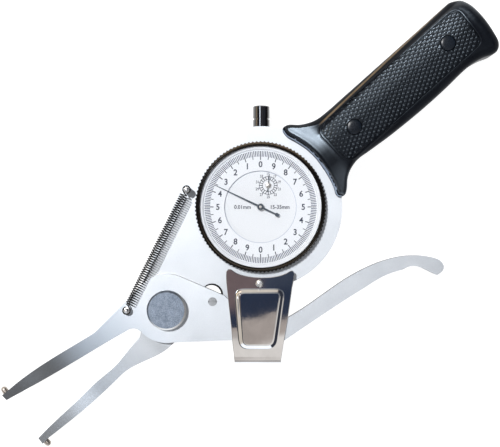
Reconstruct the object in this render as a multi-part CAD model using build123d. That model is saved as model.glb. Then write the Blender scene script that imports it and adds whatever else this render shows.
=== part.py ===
from build123d import *
import math
import os

# Internal dial caliper gauge, lying on its back.  Millimetres, +Z up out of the dial,
# +X to the right of the dial, +Y towards its zero.  The outlines below are given about
# a drawing origin O; the whole model is shifted so that the row origin is at the middle
# of the bottom of its bounding box.

# ---------------------------------------------------------------- driving dimensions
OX, OY = 0.495, -0.015          # drawing origin -> row origin shift

Z_FRAME0, Z_FRAME1 = 9.5, 13.5    # frame plate, 4 mm
Z_ARM0, Z_ARM1 = 13.6, 17.6       # arm plate, 4 mm, 0.1 mm running gap
Z_SPINDLE = 5.2                   # height of the plunger axis
Z_SPRING = 20.4                   # height of the extension spring's axis

DISC = (5.32, 7.68)               # middle of the frame's round part
DISC_R = 38.15
DIAL = (4.94, 7.75)               # middle of the dial
PIVOT = (-38.76, -40.29)          # arm pivot
X_SPINDLE = 5.40                  # plunger axis
RANGE_DEG = 14.2                  # arm travel from 35 mm down to 15 mm

LEVER = X_SPINDLE - PIVOT[0]                      # plunger lever arm, 44.16
HALF = math.radians(RANGE_DEG / 2)
K_PLUNGER = 2 * LEVER * math.tan(HALF) / (2 * HALF)   # mm of plunger per radian of arm
RATIO_A = 26.08                                   # rack pinion turns per turn of the arm
R_RACK_PINION = K_PLUNGER / RATIO_A               # pitch radius of the 18-tooth rack pinion
N_RACK_PINION, N_GEAR, N_CENTRE = 18, 100, 10
MESH_DIST = 10.73                                 # centre distance of the 100:10 meshes
M_GEAR = 2 * MESH_DIST / (N_GEAR + N_CENTRE)
RACK_PITCH_OFF = 1.6                              # rack pitch plane from the plunger axis

BALL_R = 1.5                                      # plunger tip ball and contact pins
GAP_TIP = 0.03                                    # tip to anvil at rest
Y_BALL = PIVOT[1] - LEVER * math.tan(HALF) + GAP_TIP

STOP_HOLE, STOP_HOLE_R = (-17.90, -33.49), 5.25
STOP_SCREW = (-17.51, -36.51)
STOP_BUSH_R = 2.15
POST_FRAME = (-29.47, 15.77)
POST_ARM = (-57.36, -40.48)
GUARD_SCREW = (4.47, -27.98)
PLUGS = [(91.61, 83.53), (48.31, 44.78)]
COUNTER = (8.59, 17.84)                           # middle of the turn counter
_d = math.hypot(COUNTER[0] - DIAL[0], COUNTER[1] - DIAL[1])
COUNTER = (DIAL[0] + (COUNTER[0] - DIAL[0]) * MESH_DIST / _d,
           DIAL[1] + (COUNTER[1] - DIAL[1]) * MESH_DIST / _d)
_ax = X_SPINDLE - RACK_PITCH_OFF - R_RACK_PINION
GEAR_A = (_ax, DIAL[1] - math.sqrt(MESH_DIST ** 2 - (_ax - DIAL[0]) ** 2))

CASE_R, CASE_IN, NECK_R = 28.5, 26.0, 27.4
DIAL_SEAT_R = 27.5                                # round hole in the frame plate

# ---------------------------------------------------------------- outlines
LEG_INNER = [(-51.38, -51.10), (-51.95, -53.64), (-57.65, -60.24), (-63.68, -67.44),
             (-72.11, -74.65), (-81.71, -83.97), (-88.92, -90.57), (-99.71, -101.12)]
LEG_OUTER = [(-97.63, -103.80), (-94.62, -100.79), (-87.70, -95.37), (-75.69, -85.48),
             (-69.70, -80.07), (-61.27, -71.96), (-58.59, -69.56), (-51.67, -65.65),
             (-37.25, -57.55)]
FRAME_HIDDEN = [(-23.55, -49.83), (-13.19, -44.04), (-8.95, -38.86), (-7.54, -33.67)]
FRAME_LEFT = [(-54.21, -36.03), (-54.63, -44.51), (-52.75, -48.27)]
TANG_DIR = (0.769, 0.640)
TANG_AT = (73.26, 66.31)

ARM_LEG_OUTER = [(-46.69, -25.73), (-58.65, -37.12), (-64.34, -42.77), (-72.65, -51.08), (-75.04, -52.58),
                 (-86.94, -59.72), (-98.85, -67.19), (-112.58, -77.60), (-115.84, -80.26)]
ARM_LEG_INNER = [(-113.74, -82.51), (-110.75, -80.87), (-98.85, -74.33), (-86.94, -67.47),
                 (-75.04, -60.33), (-66.12, -54.96), (-57.76, -50.19), (-54.21, -49.03),
                 (-50.94, -50.66)]
ARM_UPPER = [(-12.00, -33.71), (-11.02, -34.74), (-2.33, -38.99), (5.60, -41.56),
             (14.01, -44.59), (17.84, -43.94)]
LEVER_TOP = [(17.84, -43.94), (37.63, -30.63), (46.13, -24.98), (54.63, -20.45), (60.28, -18.07),
             (65.93, -16.34), (71.58, -15.22), (77.28, -14.89), (82.93, -15.36), (88.02, -16.70),
             (90.60, -20.45)]
LEVER_END = [(87.46, -24.03), (84.05, -22.55), (79.50, -20.40)]
LEVER_BOT = [(71.58, -21.48), (65.93, -23.11), (60.28, -25.68), (54.63, -29.23),
             (48.93, -32.78), (37.63, -40.06), (26.33, -47.63), (16.11, -54.58)]
ARM_LOW = [(9.34, -55.33), (-8.40, -54.49), (-35.49, -56.03)]

GUARD = [(-11.05, -22.37), (-10.21, -21.44), (-8.95, -21.35), (-7.50, -22.37), (-5.41, -23.45),
         (-2.28, -24.38), (0.84, -24.89), (3.96, -25.17), (7.09, -25.17), (10.21, -24.98),
         (14.36, -24.15), (17.48, -22.89), (19.16, -21.96), (20.18, -22.28), (20.56, -23.03),
         (19.34, -32.58), (17.76, -43.54), (15.90, -54.44), (14.31, -64.47), (13.84, -66.50),
         (-6.90, -66.50), (-7.23, -64.47), (-8.30, -54.44), (-8.76, -48.20), (-10.02, -37.29),
         (-10.95, -27.92), (-11.42, -23.31)]
BULGE_BASE = [(-7.40, -30.30), (16.40, -30.30), (12.40, -58.75), (-5.10, -58.75)]
BULGE_RISE, BULGE_TAPER = 1.5, 50

HANDLE = [(15.40, 44.73), (17.68, 46.18), (23.25, 46.21), (28.05, 47.28), (31.49, 48.84),
          (36.81, 53.03), (43.37, 58.88), (49.95, 64.70), (56.66, 70.71), (63.23, 76.54),
          (70.06, 82.68), (76.78, 88.66), (83.58, 94.79), (90.77, 101.24), (93.18, 103.15),
          (96.38, 104.00), (98.57, 104.10), (102.39, 102.28), (106.31, 98.74), (110.20, 94.17),
          (113.56, 89.39), (116.06, 85.16), (116.36, 82.56), (115.57, 80.58), (113.60, 79.12),
          (108.85, 77.29), (105.35, 75.40), (101.87, 73.00), (98.60, 70.12), (92.01, 63.63),
          (85.24, 57.38), (78.41, 51.44), (71.76, 45.96), (65.02, 40.63), (58.48, 35.83),
          (54.63, 33.07), (51.30, 30.73), (49.12, 28.58), (46.69, 24.88), (45.42, 20.96),
          (45.11, 16.19), (44.37, 13.52), (42.62, 12.48), (40.68, 13.12), (39.16, 17.26),
          (36.86, 21.93), (33.94, 26.48), (30.43, 31.08), (25.59, 35.55), (20.83, 38.63),
          (16.94, 40.97), (15.34, 43.48)]
Z_HANDLE0, Z_HANDLE_SPLIT, Z_HANDLE1 = 0.0, 11.5, 22.0
HANDLE_ROUND = 3.2


# ---------------------------------------------------------------- helpers
FIT = 0.02                                        # radial room of the pieces that stay put


def flat(points):
    """Plane face through the points, its normal up whichever way round they go."""
    area = sum(a[0] * b[1] - b[0] * a[1] for a, b in zip(points, points[1:] + points[:1]))
    pts = points if area > 0 else points[::-1]
    return make_face(Polyline(*[(x, y) for x, y in pts], close=True))


def prism(points, z0, z1):
    return Pos(0, 0, z0) * extrude(flat(list(points)), amount=z1 - z0, dir=(0, 0, 1))


def run_prism(runs, z0, z1):
    """Prism over a closed outline made of runs, each ("s", points) a smooth curve through its points or
    ("l", points) straight lines; a run starts where the one before it ends."""
    edges = []
    start = runs[-1][1][-1]
    first = start
    for kind, pts in runs:
        pts = [start] + list(pts)
        if kind == "s" and len(pts) > 2:
            edges.append(Spline(*[(x, y) for x, y in pts]))
        else:
            edges.append(Polyline(*[(x, y) for x, y in pts]))
        start = pts[-1]
    face = make_face(Curve() + edges)
    return Pos(0, 0, z0) * extrude(face, amount=z1 - z0, dir=(0, 0, 1))


def cyl(at, r, z0, z1):
    return Pos(at[0], at[1], (z0 + z1) / 2) * Cylinder(r, z1 - z0)


def tube(at, r_out, r_in, z0, z1):
    return cyl(at, r_out, z0, z1) - cyl(at, r_in, z0 - 1, z1 + 1)


def ycyl(x, z, r, y0, y1):
    return Pos(x, (y0 + y1) / 2, z) * Rot(90, 0, 0) * Cylinder(r, y1 - y0)


def arc_points(centre, r, a0, a1, n):
    return [(centre[0] + r * math.cos(math.radians(a0 + (a1 - a0) * i / n)),
             centre[1] + r * math.sin(math.radians(a0 + (a1 - a0) * i / n)))
            for i in range(n + 1)]


def turned(profile, at):
    """A turned piece: (radius, z) profile revolved about the vertical through at."""
    face = make_face(Polyline(*[(r, 0, z) for r, z in profile], close=True))
    return Pos(at[0], at[1], 0) * revolve(face, axis=Axis.Z)


def gear_points(n, module, phase_deg, add, ded, thick):
    """Outline of a flat-flanked gear; thick is the tooth's share of the pitch."""
    rp = n * module / 2
    ro, rr = rp + add * module, rp - ded * module
    pitch = 2 * math.pi / n
    out = []
    for i in range(n):
        c = math.radians(phase_deg) + i * pitch
        half = thick * pitch / 2
        tip = half * 0.55
        root = half * 1.45
        for a, r in ((-root, rr), (-half, rp), (-tip, ro), (tip, ro), (half, rp), (root, rr)):
            out.append((r * math.cos(c + a), r * math.sin(c + a)))
    return out


def gear(n, module, at, phase_deg, z0, z1, add=0.75, ded=1.15, thick=0.40):
    pts = gear_points(n, module, phase_deg, add, ded, thick)
    return prism([(at[0] + x, at[1] + y) for x, y in pts], z0, z1)


def turn_about(p, centre, deg):
    a = math.radians(deg)
    dx, dy = p[0] - centre[0], p[1] - centre[1]
    return (centre[0] + dx * math.cos(a) - dy * math.sin(a),
            centre[1] + dx * math.sin(a) + dy * math.cos(a))


def screw(at, r, head_r, z_tip, z_head0, z_head1, slot_w=0.5, slot_d=0.5):
    """Cheese-head screw standing along Z; its head is at the z_head1 end."""
    s = cyl(at, r, min(z_tip, z_head0), max(z_tip, z_head0))
    s += cyl(at, head_r, min(z_head0, z_head1), max(z_head0, z_head1))
    sgn = 1 if z_head1 > z_head0 else -1
    s -= Pos(at[0], at[1], z_head1 - sgn * slot_d / 2) * Box(2.4 * head_r, slot_w, slot_d)
    return s


def csk_screw(at, r, head_r, z_tip, z_top, depth, slot_w=0.6):
    s = cyl(at, r, z_tip, z_top - depth / 2)
    s += turned([(0, z_top - depth), (r, z_top - depth), (head_r, z_top - 0.15), (head_r, z_top), (0, z_top)], at)
    s -= Pos(at[0], at[1], z_top - 0.3) * Box(2.4 * head_r, slot_w, 0.6)
    return s


def csk_hole(at, r, head_r, z0, z_top, depth):
    return cyl(at, r, z0 - 1, z_top) + turned(
        [(0, z_top - depth), (r, z_top - depth), (head_r, z_top - 0.15), (head_r, z_top + 1), (0, z_top + 1)], at)


parts = {}


def group(solids):
    """Identical pieces that share a name stay a list until they are written."""
    return list(solids)


# ---------------------------------------------------------------- frame plate
body_pts = ([(-33.45, 5.20)] + FRAME_LEFT + LEG_INNER + LEG_OUTER + FRAME_HIDDEN
            + [(-6.6, -28.5), DISC])
frame = cyl(DISC, DISC_R, Z_FRAME0, Z_FRAME1)
# left edge: tangent from the disc down to the pivot region
ang_t = math.degrees(math.atan2(22.09 - DISC[1], -30.61 - DISC[0]))
tangent_pt = (DISC[0] + DISC_R * math.cos(math.radians(ang_t)), DISC[1] + DISC_R * math.sin(math.radians(ang_t)))
frame += run_prism([("l", [FRAME_LEFT[0]]), ("s", FRAME_LEFT[1:] + [LEG_INNER[0]]), ("l", [LEG_INNER[1]]),
                    ("s", LEG_INNER[2:]), ("l", [LEG_OUTER[0], LEG_OUTER[1]]), ("s", LEG_OUTER[2:6]),
                    ("s", LEG_OUTER[6:]), ("s", FRAME_HIDDEN), ("l", [(-6.6, -28.5), DISC, tangent_pt])],
                   Z_FRAME0, Z_FRAME1)
tx, ty = TANG_DIR
nx, ny = -ty, tx
t0, t1, th = -52.0, 36.0, 6.8
tang = [(TANG_AT[0] + tx * t + nx * s, TANG_AT[1] + ty * t + ny * s)
        for t, s in ((t0, -th), (t1, -th), (t1 + 3, -th + 3), (t1 + 3, th - 3), (t1, th), (t0, th))]
frame += prism(tang, Z_FRAME0, Z_FRAME1)
frame -= cyl(DIAL, DIAL_SEAT_R, 0, 30)
frame -= cyl(STOP_HOLE, STOP_HOLE_R, 0, 30)
frame -= cyl(PIVOT, 4.0 + FIT, 0, 30)
frame -= cyl(POST_FRAME, 1.2 + FIT, 10.4, 30)
frame -= cyl(GUARD_SCREW, 0.8 + FIT, 0, 30)
for p in PLUGS:
    frame -= cyl(p, 2.1, 0, 30)
EARS = [8.0, 140.0, 218.0]
EAR_R = 31.0
ears_at = [(DIAL[0] + EAR_R * math.cos(math.radians(a)), DIAL[1] + EAR_R * math.sin(math.radians(a))) for a in EARS]
for p in ears_at:
    frame -= cyl(p, 0.8 + FIT, 0, 12.3)


def contact_pin(ball, direction, z, inside, r=BALL_R):
    """Pin pressed into a leg's edge, with a ball end; inside is its length behind the ball's middle."""
    dx, dy = direction
    ln = math.hypot(dx, dy)
    dx, dy = dx / ln, dy / ln
    pl = Plane(origin=(ball[0], ball[1], z), x_dir=(0, 0, 1), z_dir=(dx, dy, 0))
    h = r * math.sqrt(0.5)
    edge = (Polyline((0, 0, -inside), (r, 0, -inside), (r, 0, 0))
            + ThreePointArc((r, 0, 0), (h, 0, h), (0, 0, r)) + Line((0, 0, r), (0, 0, -inside)))
    return pl * revolve(make_face(edge), axis=Axis.Z)


fixed_ball, fixed_dir = (-95.55, -103.67), (0.70, -0.71)
move_ball, move_dir = (-115.18, -77.84), (-0.55, 0.83)
fixed_contact = contact_pin(fixed_ball, fixed_dir, 11.5, 4.6)
moving_contact = contact_pin(move_ball, move_dir, 15.6, 4.4)
frame -= contact_pin(fixed_ball, fixed_dir, 11.5, 4.7, BALL_R + FIT)
parts["frame_plate"] = frame
parts["fixed_contact"] = fixed_contact

# ---------------------------------------------------------------- handle shells
def inset(points, d):
    """The outline drawn in by d, less and less towards the thin lips that hug the disc."""
    area = sum(a[0] * b[1] - b[0] * a[1] for a, b in zip(points, points[1:] + points[:1]))
    pts = points if area > 0 else points[::-1]
    out = []
    n_ = len(pts)
    for i in range(n_):
        p0, p1, p2 = pts[i - 1], pts[i], pts[(i + 1) % n_]
        e1 = (p1[0] - p0[0], p1[1] - p0[1])
        e2 = (p2[0] - p1[0], p2[1] - p1[1])
        l1, l2 = math.hypot(*e1), math.hypot(*e2)
        n1, n2 = (-e1[1] / l1, e1[0] / l1), (-e2[1] / l2, e2[0] / l2)
        bx, by = n1[0] + n2[0], n1[1] + n2[1]
        bl = math.hypot(bx, by)
        bx, by = bx / bl, by / bl
        stretch = min(1.0 / max(bx * n1[0] + by * n1[1], 0.5), 1.3)
        far = math.hypot(p1[0] - DISC[0], p1[1] - DISC[1])
        w = max(0.06, min(1.0, (far - 39.5) / 10.0))
        out.append((p1[0] + bx * d * w * stretch, p1[1] + by * d * w * stretch))
    return out


def ring_wire(points, z):
    return Polyline(*[(x, y, z) for x, y in points], close=True)


def handle_shell(z_split, z_face):
    """Moulded half: straight wall from the split, then three facets round the edge to the face."""
    sgn = 1 if z_face > z_split else -1
    steps = [(HANDLE_ROUND, 0.0), (0.55 * HANDLE_ROUND, 0.14 * HANDLE_ROUND),
             (0.20 * HANDLE_ROUND, 0.42 * HANDLE_ROUND), (0.0, 0.85 * HANDLE_ROUND)]
    zs = [z_split] + [z_face - sgn * d for d, _ in steps]
    rings = [inset(HANDLE, 0.0)] + [inset(HANDLE, i) for _, i in steps]
    solid = None
    for (za, ra), (zb, rb) in zip(list(zip(zs, rings))[:-1], list(zip(zs, rings))[1:]):
        if za > zb:
            za, ra, zb, rb = zb, rb, za, ra
        piece = Solid.make_loft([Wire(ring_wire(ra, za).edges()), Wire(ring_wire(rb, zb).edges())], ruled=True)
        solid = piece if solid is None else solid + piece
    return solid


front = handle_shell(Z_HANDLE_SPLIT, Z_HANDLE1)
rear = handle_shell(Z_HANDLE_SPLIT, Z_HANDLE0)
plain_tang = prism(tang, Z_FRAME0, Z_FRAME1) + cyl(DISC, DISC_R, Z_FRAME0, Z_FRAME1)
front -= plain_tang
rear -= plain_tang
SCREW_R, HEAD_R, PLUG_R = 2.0, 3.3, 3.5
screws, nuts, plugs = [], [], []
for p in PLUGS:
    front -= cyl(p, SCREW_R + 0.1, 0, 30)
    rear -= cyl(p, SCREW_R + 0.1, -5, 30)
    rear -= cyl(p, PLUG_R + FIT, -1, 5.0)
    front -= cyl(p, PLUG_R + FIT, 16.5, 30)
    sc = cyl(p, SCREW_R, 5.0, 18.6) + cyl(p, HEAD_R, 2.4, 5.0)
    sc -= Pos(p[0], p[1], 2.4 + 0.5) * Box(8, 0.9, 1.0)
    screws.append(sc)
    hexa = Pos(p[0], p[1], 16.5) * extrude(RegularPolygon(HEAD_R, 6), amount=2.6)
    nuts.append(hexa - cyl(p, SCREW_R + FIT, 0, 30))
    top = turned([(0, 20.2), (PLUG_R, 20.2), (PLUG_R, 22.0), (PLUG_R - 0.7, 22.25), (0, 22.4)], p)
    bot = turned([(0, 0.15), (PLUG_R - 0.5, 0.15), (PLUG_R, 0.5), (PLUG_R, 1.9), (0, 1.9)], p)
    plugs += [top, bot]
parts["handle_front_shell"] = front
parts["handle_rear_shell"] = rear
parts["handle_screws"] = group(screws)
parts["handle_nuts"] = group(nuts)
parts["handle_plugs"] = group(plugs)

# ---------------------------------------------------------------- pivot
parts["pivot_stud"] = turned([(0, 4.2), (3.6, 4.2), (4.0, 4.6), (4.0, 13.5), (5.0, 13.5), (5.0, 17.7),
                              (8.7, 17.7), (9.17, 18.2), (9.17, 21.1), (8.40, 21.8), (0, 21.8)], PIVOT)
parts["pivot_washer"] = tube(PIVOT, 7.6, 4.05, 8.5, 9.5)
nut = Pos(PIVOT[0], PIVOT[1], 4.6) * extrude(RegularPolygon(7.2, 6), amount=3.9)
parts["pivot_nut"] = nut - cyl(PIVOT, 4.0 + FIT, 0, 12)

# ---------------------------------------------------------------- spring posts
def spring_post(at, z_foot, z_seat):
    return turned([(0, z_foot), (1.2, z_foot), (1.2, z_seat), (1.75, z_seat), (1.75, 19.7), (1.25, 19.7),
                   (1.25, 21.1), (1.9, 21.1), (1.9, 21.6), (1.45, 22.2), (0.7, 22.55), (0, 22.6)], at)


parts["frame_spring_post"] = spring_post(POST_FRAME, 10.5, Z_FRAME1)
parts["arm_spring_post"] = spring_post(POST_ARM, 14.0, Z_ARM1)

# closed-wound extension spring: hollow body with one bump a turn, and a hook ring at each end
A = Vector(POST_FRAME[0], POST_FRAME[1], Z_SPRING)
B = Vector(POST_ARM[0], POST_ARM[1], Z_SPRING)
axis = (B - A).normalized()
span = (B - A).length
WIRE, COIL_R, TURNS = 0.60, 2.10, 52
HOOK_END = 3.0                                    # from a post to the first coil
body0, body1 = HOOK_END, span - HOOK_END
prof = [(COIL_R - WIRE, body0)]
step = (body1 - body0) / TURNS
for i in range(TURNS):
    z = body0 + i * step
    prof += [(COIL_R - 0.28, z), (COIL_R, z + 0.30 * step), (COIL_R, z + 0.70 * step)]
prof += [(COIL_R - 0.28, body1), (COIL_R - WIRE, body1)]
coil_face = make_face(Polyline(*[(r, 0, z) for r, z in prof], close=True))
coil = revolve(coil_face, axis=Axis.Z)
hooks = []
for zc, sgn in ((0.0, 1), (span, -1)):
    ring = Pos(0, 0, zc) * Rot(90, 0, 0) * Torus(1.25 + 0.45, 0.32)
    # open side of the ring goes on as a straight wire to the coil
    ring += Pos(0, 0, zc + sgn * (1.7 + HOOK_END + 0.3) / 2) * Cylinder(0.32, HOOK_END + 0.3 - 1.7)
    bend = Pos((COIL_R - WIRE / 2) / 2, 0, zc + sgn * (HOOK_END + 0.25)) * Rot(0, 90, 0) * Cylinder(0.32, COIL_R - WIRE / 2)
    hooks.append(ring + bend)
spring_local = coil + hooks[0] + hooks[1]
pl = Plane(origin=A, x_dir=Vector(axis.Y, -axis.X, 0), z_dir=axis)
parts["extension_spring"] = pl * spring_local

# ---------------------------------------------------------------- indicator case
case = tube(DIAL, CASE_R, CASE_IN, 1.0, Z_FRAME0) + tube(DIAL, NECK_R, CASE_IN, Z_FRAME0, 15.6)
case += tube(DIAL, CASE_IN + 0.2, 24.6, 12.9, 15.0)            # shelf for the dial
case += tube(DIAL, CASE_IN + 0.2, 24.8, 6.4, 7.6) - Pos(DIAL[0], DIAL[1], 7) * Box(12, 60, 4)   # ledge for the movement
for a, p in zip(EARS, ears_at):
    ear = cyl(p, 2.9, 7.5, Z_FRAME0)
    m = (DIAL[0] + 28.6 * math.cos(math.radians(a)), DIAL[1] + 28.6 * math.sin(math.radians(a)))
    ear += Pos(m[0], m[1], 8.5) * Rot(0, 0, a) * Box(4.4, 5.8, 2.0)
    ear -= cyl(DIAL, CASE_IN + 0.6, 0, 20)
    case += ear - cyl(p, 1.05, 0, 20)
case -= ycyl(X_SPINDLE, Z_SPINDLE, 3.8 + FIT, DIAL[1] - 32, DIAL[1] - 20)
case -= ycyl(X_SPINDLE, Z_SPINDLE, 3.0 + FIT, DIAL[1] + 20, DIAL[1] + 32)
case -= tube(DIAL, 30, 27.0, 14.15, 14.75)                      # groove of the bezel's spring wire
parts["indicator_case"] = case
parts["case_screws"] = group([screw(p, 0.8, 1.7, 12.0, 7.5, 6.1) for p in ears_at])
cover = cyl(DIAL, CASE_R, 0.0, 1.0) + (tube(DIAL, CASE_IN - FIT, CASE_IN - 1.0, 1.0, 2.2)
                                       - Pos(X_SPINDLE, DIAL[1], 2.0) * Box(9.0, 70, 1.9))
parts["back_cover"] = chamfer(cover.edges().filter_by(GeomType.CIRCLE).filter_by(
    lambda e: abs(e.radius - CASE_R) < 1e-3 and abs(e.center().Z) < 1e-3), length=0.4)

STEM_END = DIAL[1] - 34.5
stem = ycyl(X_SPINDLE, Z_SPINDLE, 3.8, STEM_END, DIAL[1] - 26.1) - ycyl(X_SPINDLE, Z_SPINDLE, 2.04, STEM_END - 5, DIAL[1])
parts["stem_bush"] = stem
gb = ycyl(X_SPINDLE, Z_SPINDLE, 3.0, DIAL[1] + 26.1, DIAL[1] + 34.0) - ycyl(X_SPINDLE, Z_SPINDLE, 2.04, DIAL[1], DIAL[1] + 40)
parts["guide_bush"] = gb
CAP0, CAP1 = DIAL[1] + 28.7, 56.16
cap = ycyl(X_SPINDLE, Z_SPINDLE, 4.0, CAP0, CAP1)
cap -= ycyl(X_SPINDLE, Z_SPINDLE, 3.0 + FIT, CAP0 - 1, DIAL[1] + 34.0)
cap -= ycyl(X_SPINDLE, Z_SPINDLE, 2.4, DIAL[1] + 33.0, CAP1 - 0.9)
cap -= ycyl(X_SPINDLE, Z_SPINDLE, 5.0, 49.5, 50.3) - ycyl(X_SPINDLE, Z_SPINDLE, 3.6, 49.0, 51.0)
capface = cap.edges().filter_by(GeomType.CIRCLE).filter_by(lambda e: abs(e.radius - 4.0) < 1e-3 and e.center().Y > 56.0)
cap = chamfer(capface, length=0.4)
parts["dust_cap"] = cap

# ---------------------------------------------------------------- movement
Z_MP0, Z_MP1 = 7.6, 8.6
Z_G0, Z_G1 = 9.1, 9.6
Z_BR0, Z_BR1 = 10.5, 11.3
PILLARS = [(DIAL[0] - 17.5, DIAL[1] - 1.0), (DIAL[0] + 15.0, DIAL[1] - 12.0), (DIAL[0] - 9.5, DIAL[1] + 17.5)]
PIV_R, PIV_HOLE = 0.40, 0.43
mp = cyl(DIAL, CASE_IN - FIT, Z_MP0, Z_MP1)
mp -= cyl(GEAR_A, 2.4, 0, 20)
mp -= cyl(DIAL, PIV_HOLE, 0, 20)
mp -= cyl(COUNTER, PIV_HOLE, 0, 20)
for p in PILLARS:
    mp -= cyl(p, 0.8 + FIT, 0, 20)
# rear cock for the rack pinion: a narrow bar on two posts behind the movement plate
COCK = [(GEAR_A[0] - 8.0, GEAR_A[1] + 5.0), (GEAR_A[0] - 8.0, GEAR_A[1] - 5.0)]
bar = prism([(GEAR_A[0] - 10.0, GEAR_A[1] - 7.0), (GEAR_A[0] - 6.0, GEAR_A[1] - 7.0),
             (GEAR_A[0] + 1.2, GEAR_A[1] - 1.4), (GEAR_A[0] + 1.2, GEAR_A[1] + 1.4),
             (GEAR_A[0] - 6.0, GEAR_A[1] + 7.0), (GEAR_A[0] - 10.0, GEAR_A[1] + 7.0)], 1.6, 2.6)
bar -= cyl(GEAR_A, PIV_HOLE, 0, 20)
for p in COCK:
    bar += cyl(p, 1.4, 2.6, Z_MP0)
    bar -= cyl(p, 0.7 + FIT, 0, 20)
    mp -= cyl(p, 0.7 + FIT, 0, 20)
parts["movement_plate"] = mp
parts["rack_cock"] = bar
parts["cock_screws"] = group([turned([(0, 1.1), (1.3, 1.1), (1.3, 1.6), (0.7, 1.6), (0.7, Z_MP1), (0, Z_MP1)], p)
                                          for p in COCK])
br = cyl(DIAL, 21.5, Z_BR0, Z_BR1)
br -= cyl(GEAR_A, PIV_HOLE, 0, 20)
br -= cyl(DIAL, 0.63, 0, 20)
br -= cyl(COUNTER, 0.63, 0, 20)
for p in PILLARS:
    br -= cyl(p, 0.8 + FIT, 0, 20)
HS = (COUNTER[0] + 4.35, COUNTER[1])
br -= cyl(HS, 0.3 + FIT, 0, 20)
parts["bridge_plate"] = br
parts["bridge_pillars"] = group([
    turned([(0, Z_MP0), (0.8, Z_MP0), (0.8, Z_MP1), (1.5, Z_MP1), (1.5, Z_BR0), (0.5 + FIT, Z_BR0),
            (0.5 + FIT, 8.95), (0, 8.95)], p) for p in PILLARS])
parts["bridge_screws"] = group([
    turned([(0, 9.0), (0.5, 9.0), (0.5, Z_BR0), (0.8, Z_BR0), (0.8, Z_BR1), (1.4, Z_BR1), (1.4, 12.1), (0, 12.1)], p)
    - Pos(p[0], p[1], 12.1) * Box(3.2, 0.4, 0.7) for p in PILLARS])

# rack pinion arbor: 18 teeth on the rack, 100-tooth wheel above the movement plate
M_RACK = 2 * R_RACK_PINION / N_RACK_PINION
rp_ = gear(N_RACK_PINION, M_RACK, GEAR_A, 0.0, 3.7, 6.7)
rp_ += cyl(GEAR_A, PIV_R, 1.7, 11.0) + cyl(GEAR_A, 1.1, 2.8, 3.7) + cyl(GEAR_A, 1.1, 6.7, Z_G0) + cyl(GEAR_A, 0.9, Z_G0, 10.2)
parts["rack_pinion"] = rp_


def wheel(at, phase, bore):
    w = gear(N_GEAR, M_GEAR, at, phase, Z_G0, Z_G1)
    w -= cyl(at, bore, 0, 20)
    # crossings: four kidney windows
    for q in range(4):
        a = 45 + 90 * q
        pts = arc_points(at, 8.2, a - 33, a + 33, 10) + arc_points(at, 3.0, a + 18, a - 18, 6)
        w -= prism(pts, Z_G0 - 1, Z_G1 + 1)
    return w


ang_ca = math.degrees(math.atan2(GEAR_A[1] - DIAL[1], GEAR_A[0] - DIAL[0]))   # from the centre to wheel A
ang_cb = math.degrees(math.atan2(COUNTER[1] - DIAL[1], COUNTER[0] - DIAL[0]))
phase_a = ang_ca + 180 + 360 / N_GEAR / 2
phase_c = ang_ca
delta = (ang_cb - phase_c) % (360 / N_CENTRE)
phase_b = ang_cb + 180 + 360 / N_GEAR / 2 + delta * N_CENTRE / N_GEAR
parts["rack_wheel"] = wheel(GEAR_A, phase_a, 0.9)
ca = gear(N_CENTRE, M_GEAR, DIAL, phase_c, 8.9, 10.0, 0.75, 1.05, 0.40)
ca += cyl(DIAL, PIV_R, 7.7, 9.0) + cyl(DIAL, 0.60, 9.9, 16.4) + cyl(DIAL, 0.45, 16.4, 17.5)
parts["centre_arbor"] = ca
cb = cyl(COUNTER, PIV_R, 7.7, 9.0) + cyl(COUNTER, 0.9, 8.9, 9.8) + cyl(COUNTER, 0.60, 9.8, 15.5) + cyl(COUNTER, 0.4, 15.5, 16.05)
parts["counter_arbor"] = cb
parts["counter_wheel"] = wheel(COUNTER, phase_b, 0.9)

# hairspring: flat spiral above the counter wheel, its outer end held by a stud in the bridge
sp_in, sp_out = [], []
turns, r0, r1, tk = 3.25, 1.25, 4.10, 0.12
n = 130
for i in range(n + 1):
    t = i / n
    a = 2 * math.pi * turns * t - 2 * math.pi * turns
    r = r0 + (r1 - r0) * t
    sp_in.append((COUNTER[0] + (r - tk / 2) * math.cos(a), COUNTER[1] + (r - tk / 2) * math.sin(a)))
    sp_out.append((COUNTER[0] + (r + tk / 2) * math.cos(a), COUNTER[1] + (r + tk / 2) * math.sin(a)))
parts["hairspring"] = prism(sp_out + sp_in[::-1], 9.85, 10.25)
parts["hairspring_stud"] = cyl(HS, 0.3, 9.75, Z_BR1)

# ---------------------------------------------------------------- plunger
SP_TOP = DIAL[1] + 35.0
SP_BOT = Y_BALL + 5.5
spindle = ycyl(X_SPINDLE, Z_SPINDLE, 2.0, SP_BOT, SP_TOP)
xp = X_SPINDLE - RACK_PITCH_OFF
rack_pitch = math.pi * M_RACK
xt, xr = xp - 0.75 * M_RACK, xp + 1.15 * M_RACK
y_lo, y_hi = GEAR_A[1] - 13.2, GEAR_A[1] + 2.2
cut = [(xp - 2, y_lo), (xt, y_lo)]
k0 = math.ceil((y_lo - GEAR_A[1]) / rack_pitch - 0.5) + 1
k1 = math.floor((y_hi - GEAR_A[1]) / rack_pitch - 0.5)
for kk in range(k0, k1):
    # a space is centred on GEAR_A.y + kk * pitch
    yc = GEAR_A[1] + kk * rack_pitch
    th_ = 0.40 * rack_pitch
    s_top, s_pitch, s_bot = rack_pitch - 0.55 * th_, rack_pitch - th_, rack_pitch - 1.45 * th_
    cut += [(xt, yc - s_top / 2), (xp, yc - s_pitch / 2), (xr, yc - s_bot / 2),
            (xr, yc + s_bot / 2), (xp, yc + s_pitch / 2), (xt, yc + s_top / 2)]
cut += [(xt, y_hi), (xp - 2, y_hi)]
spindle -= prism(cut, 2.0, 8.0)
spindle -= ycyl(X_SPINDLE, Z_SPINDLE, 0.9 + FIT, SP_BOT - 1, SP_BOT + 4.0)
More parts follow.
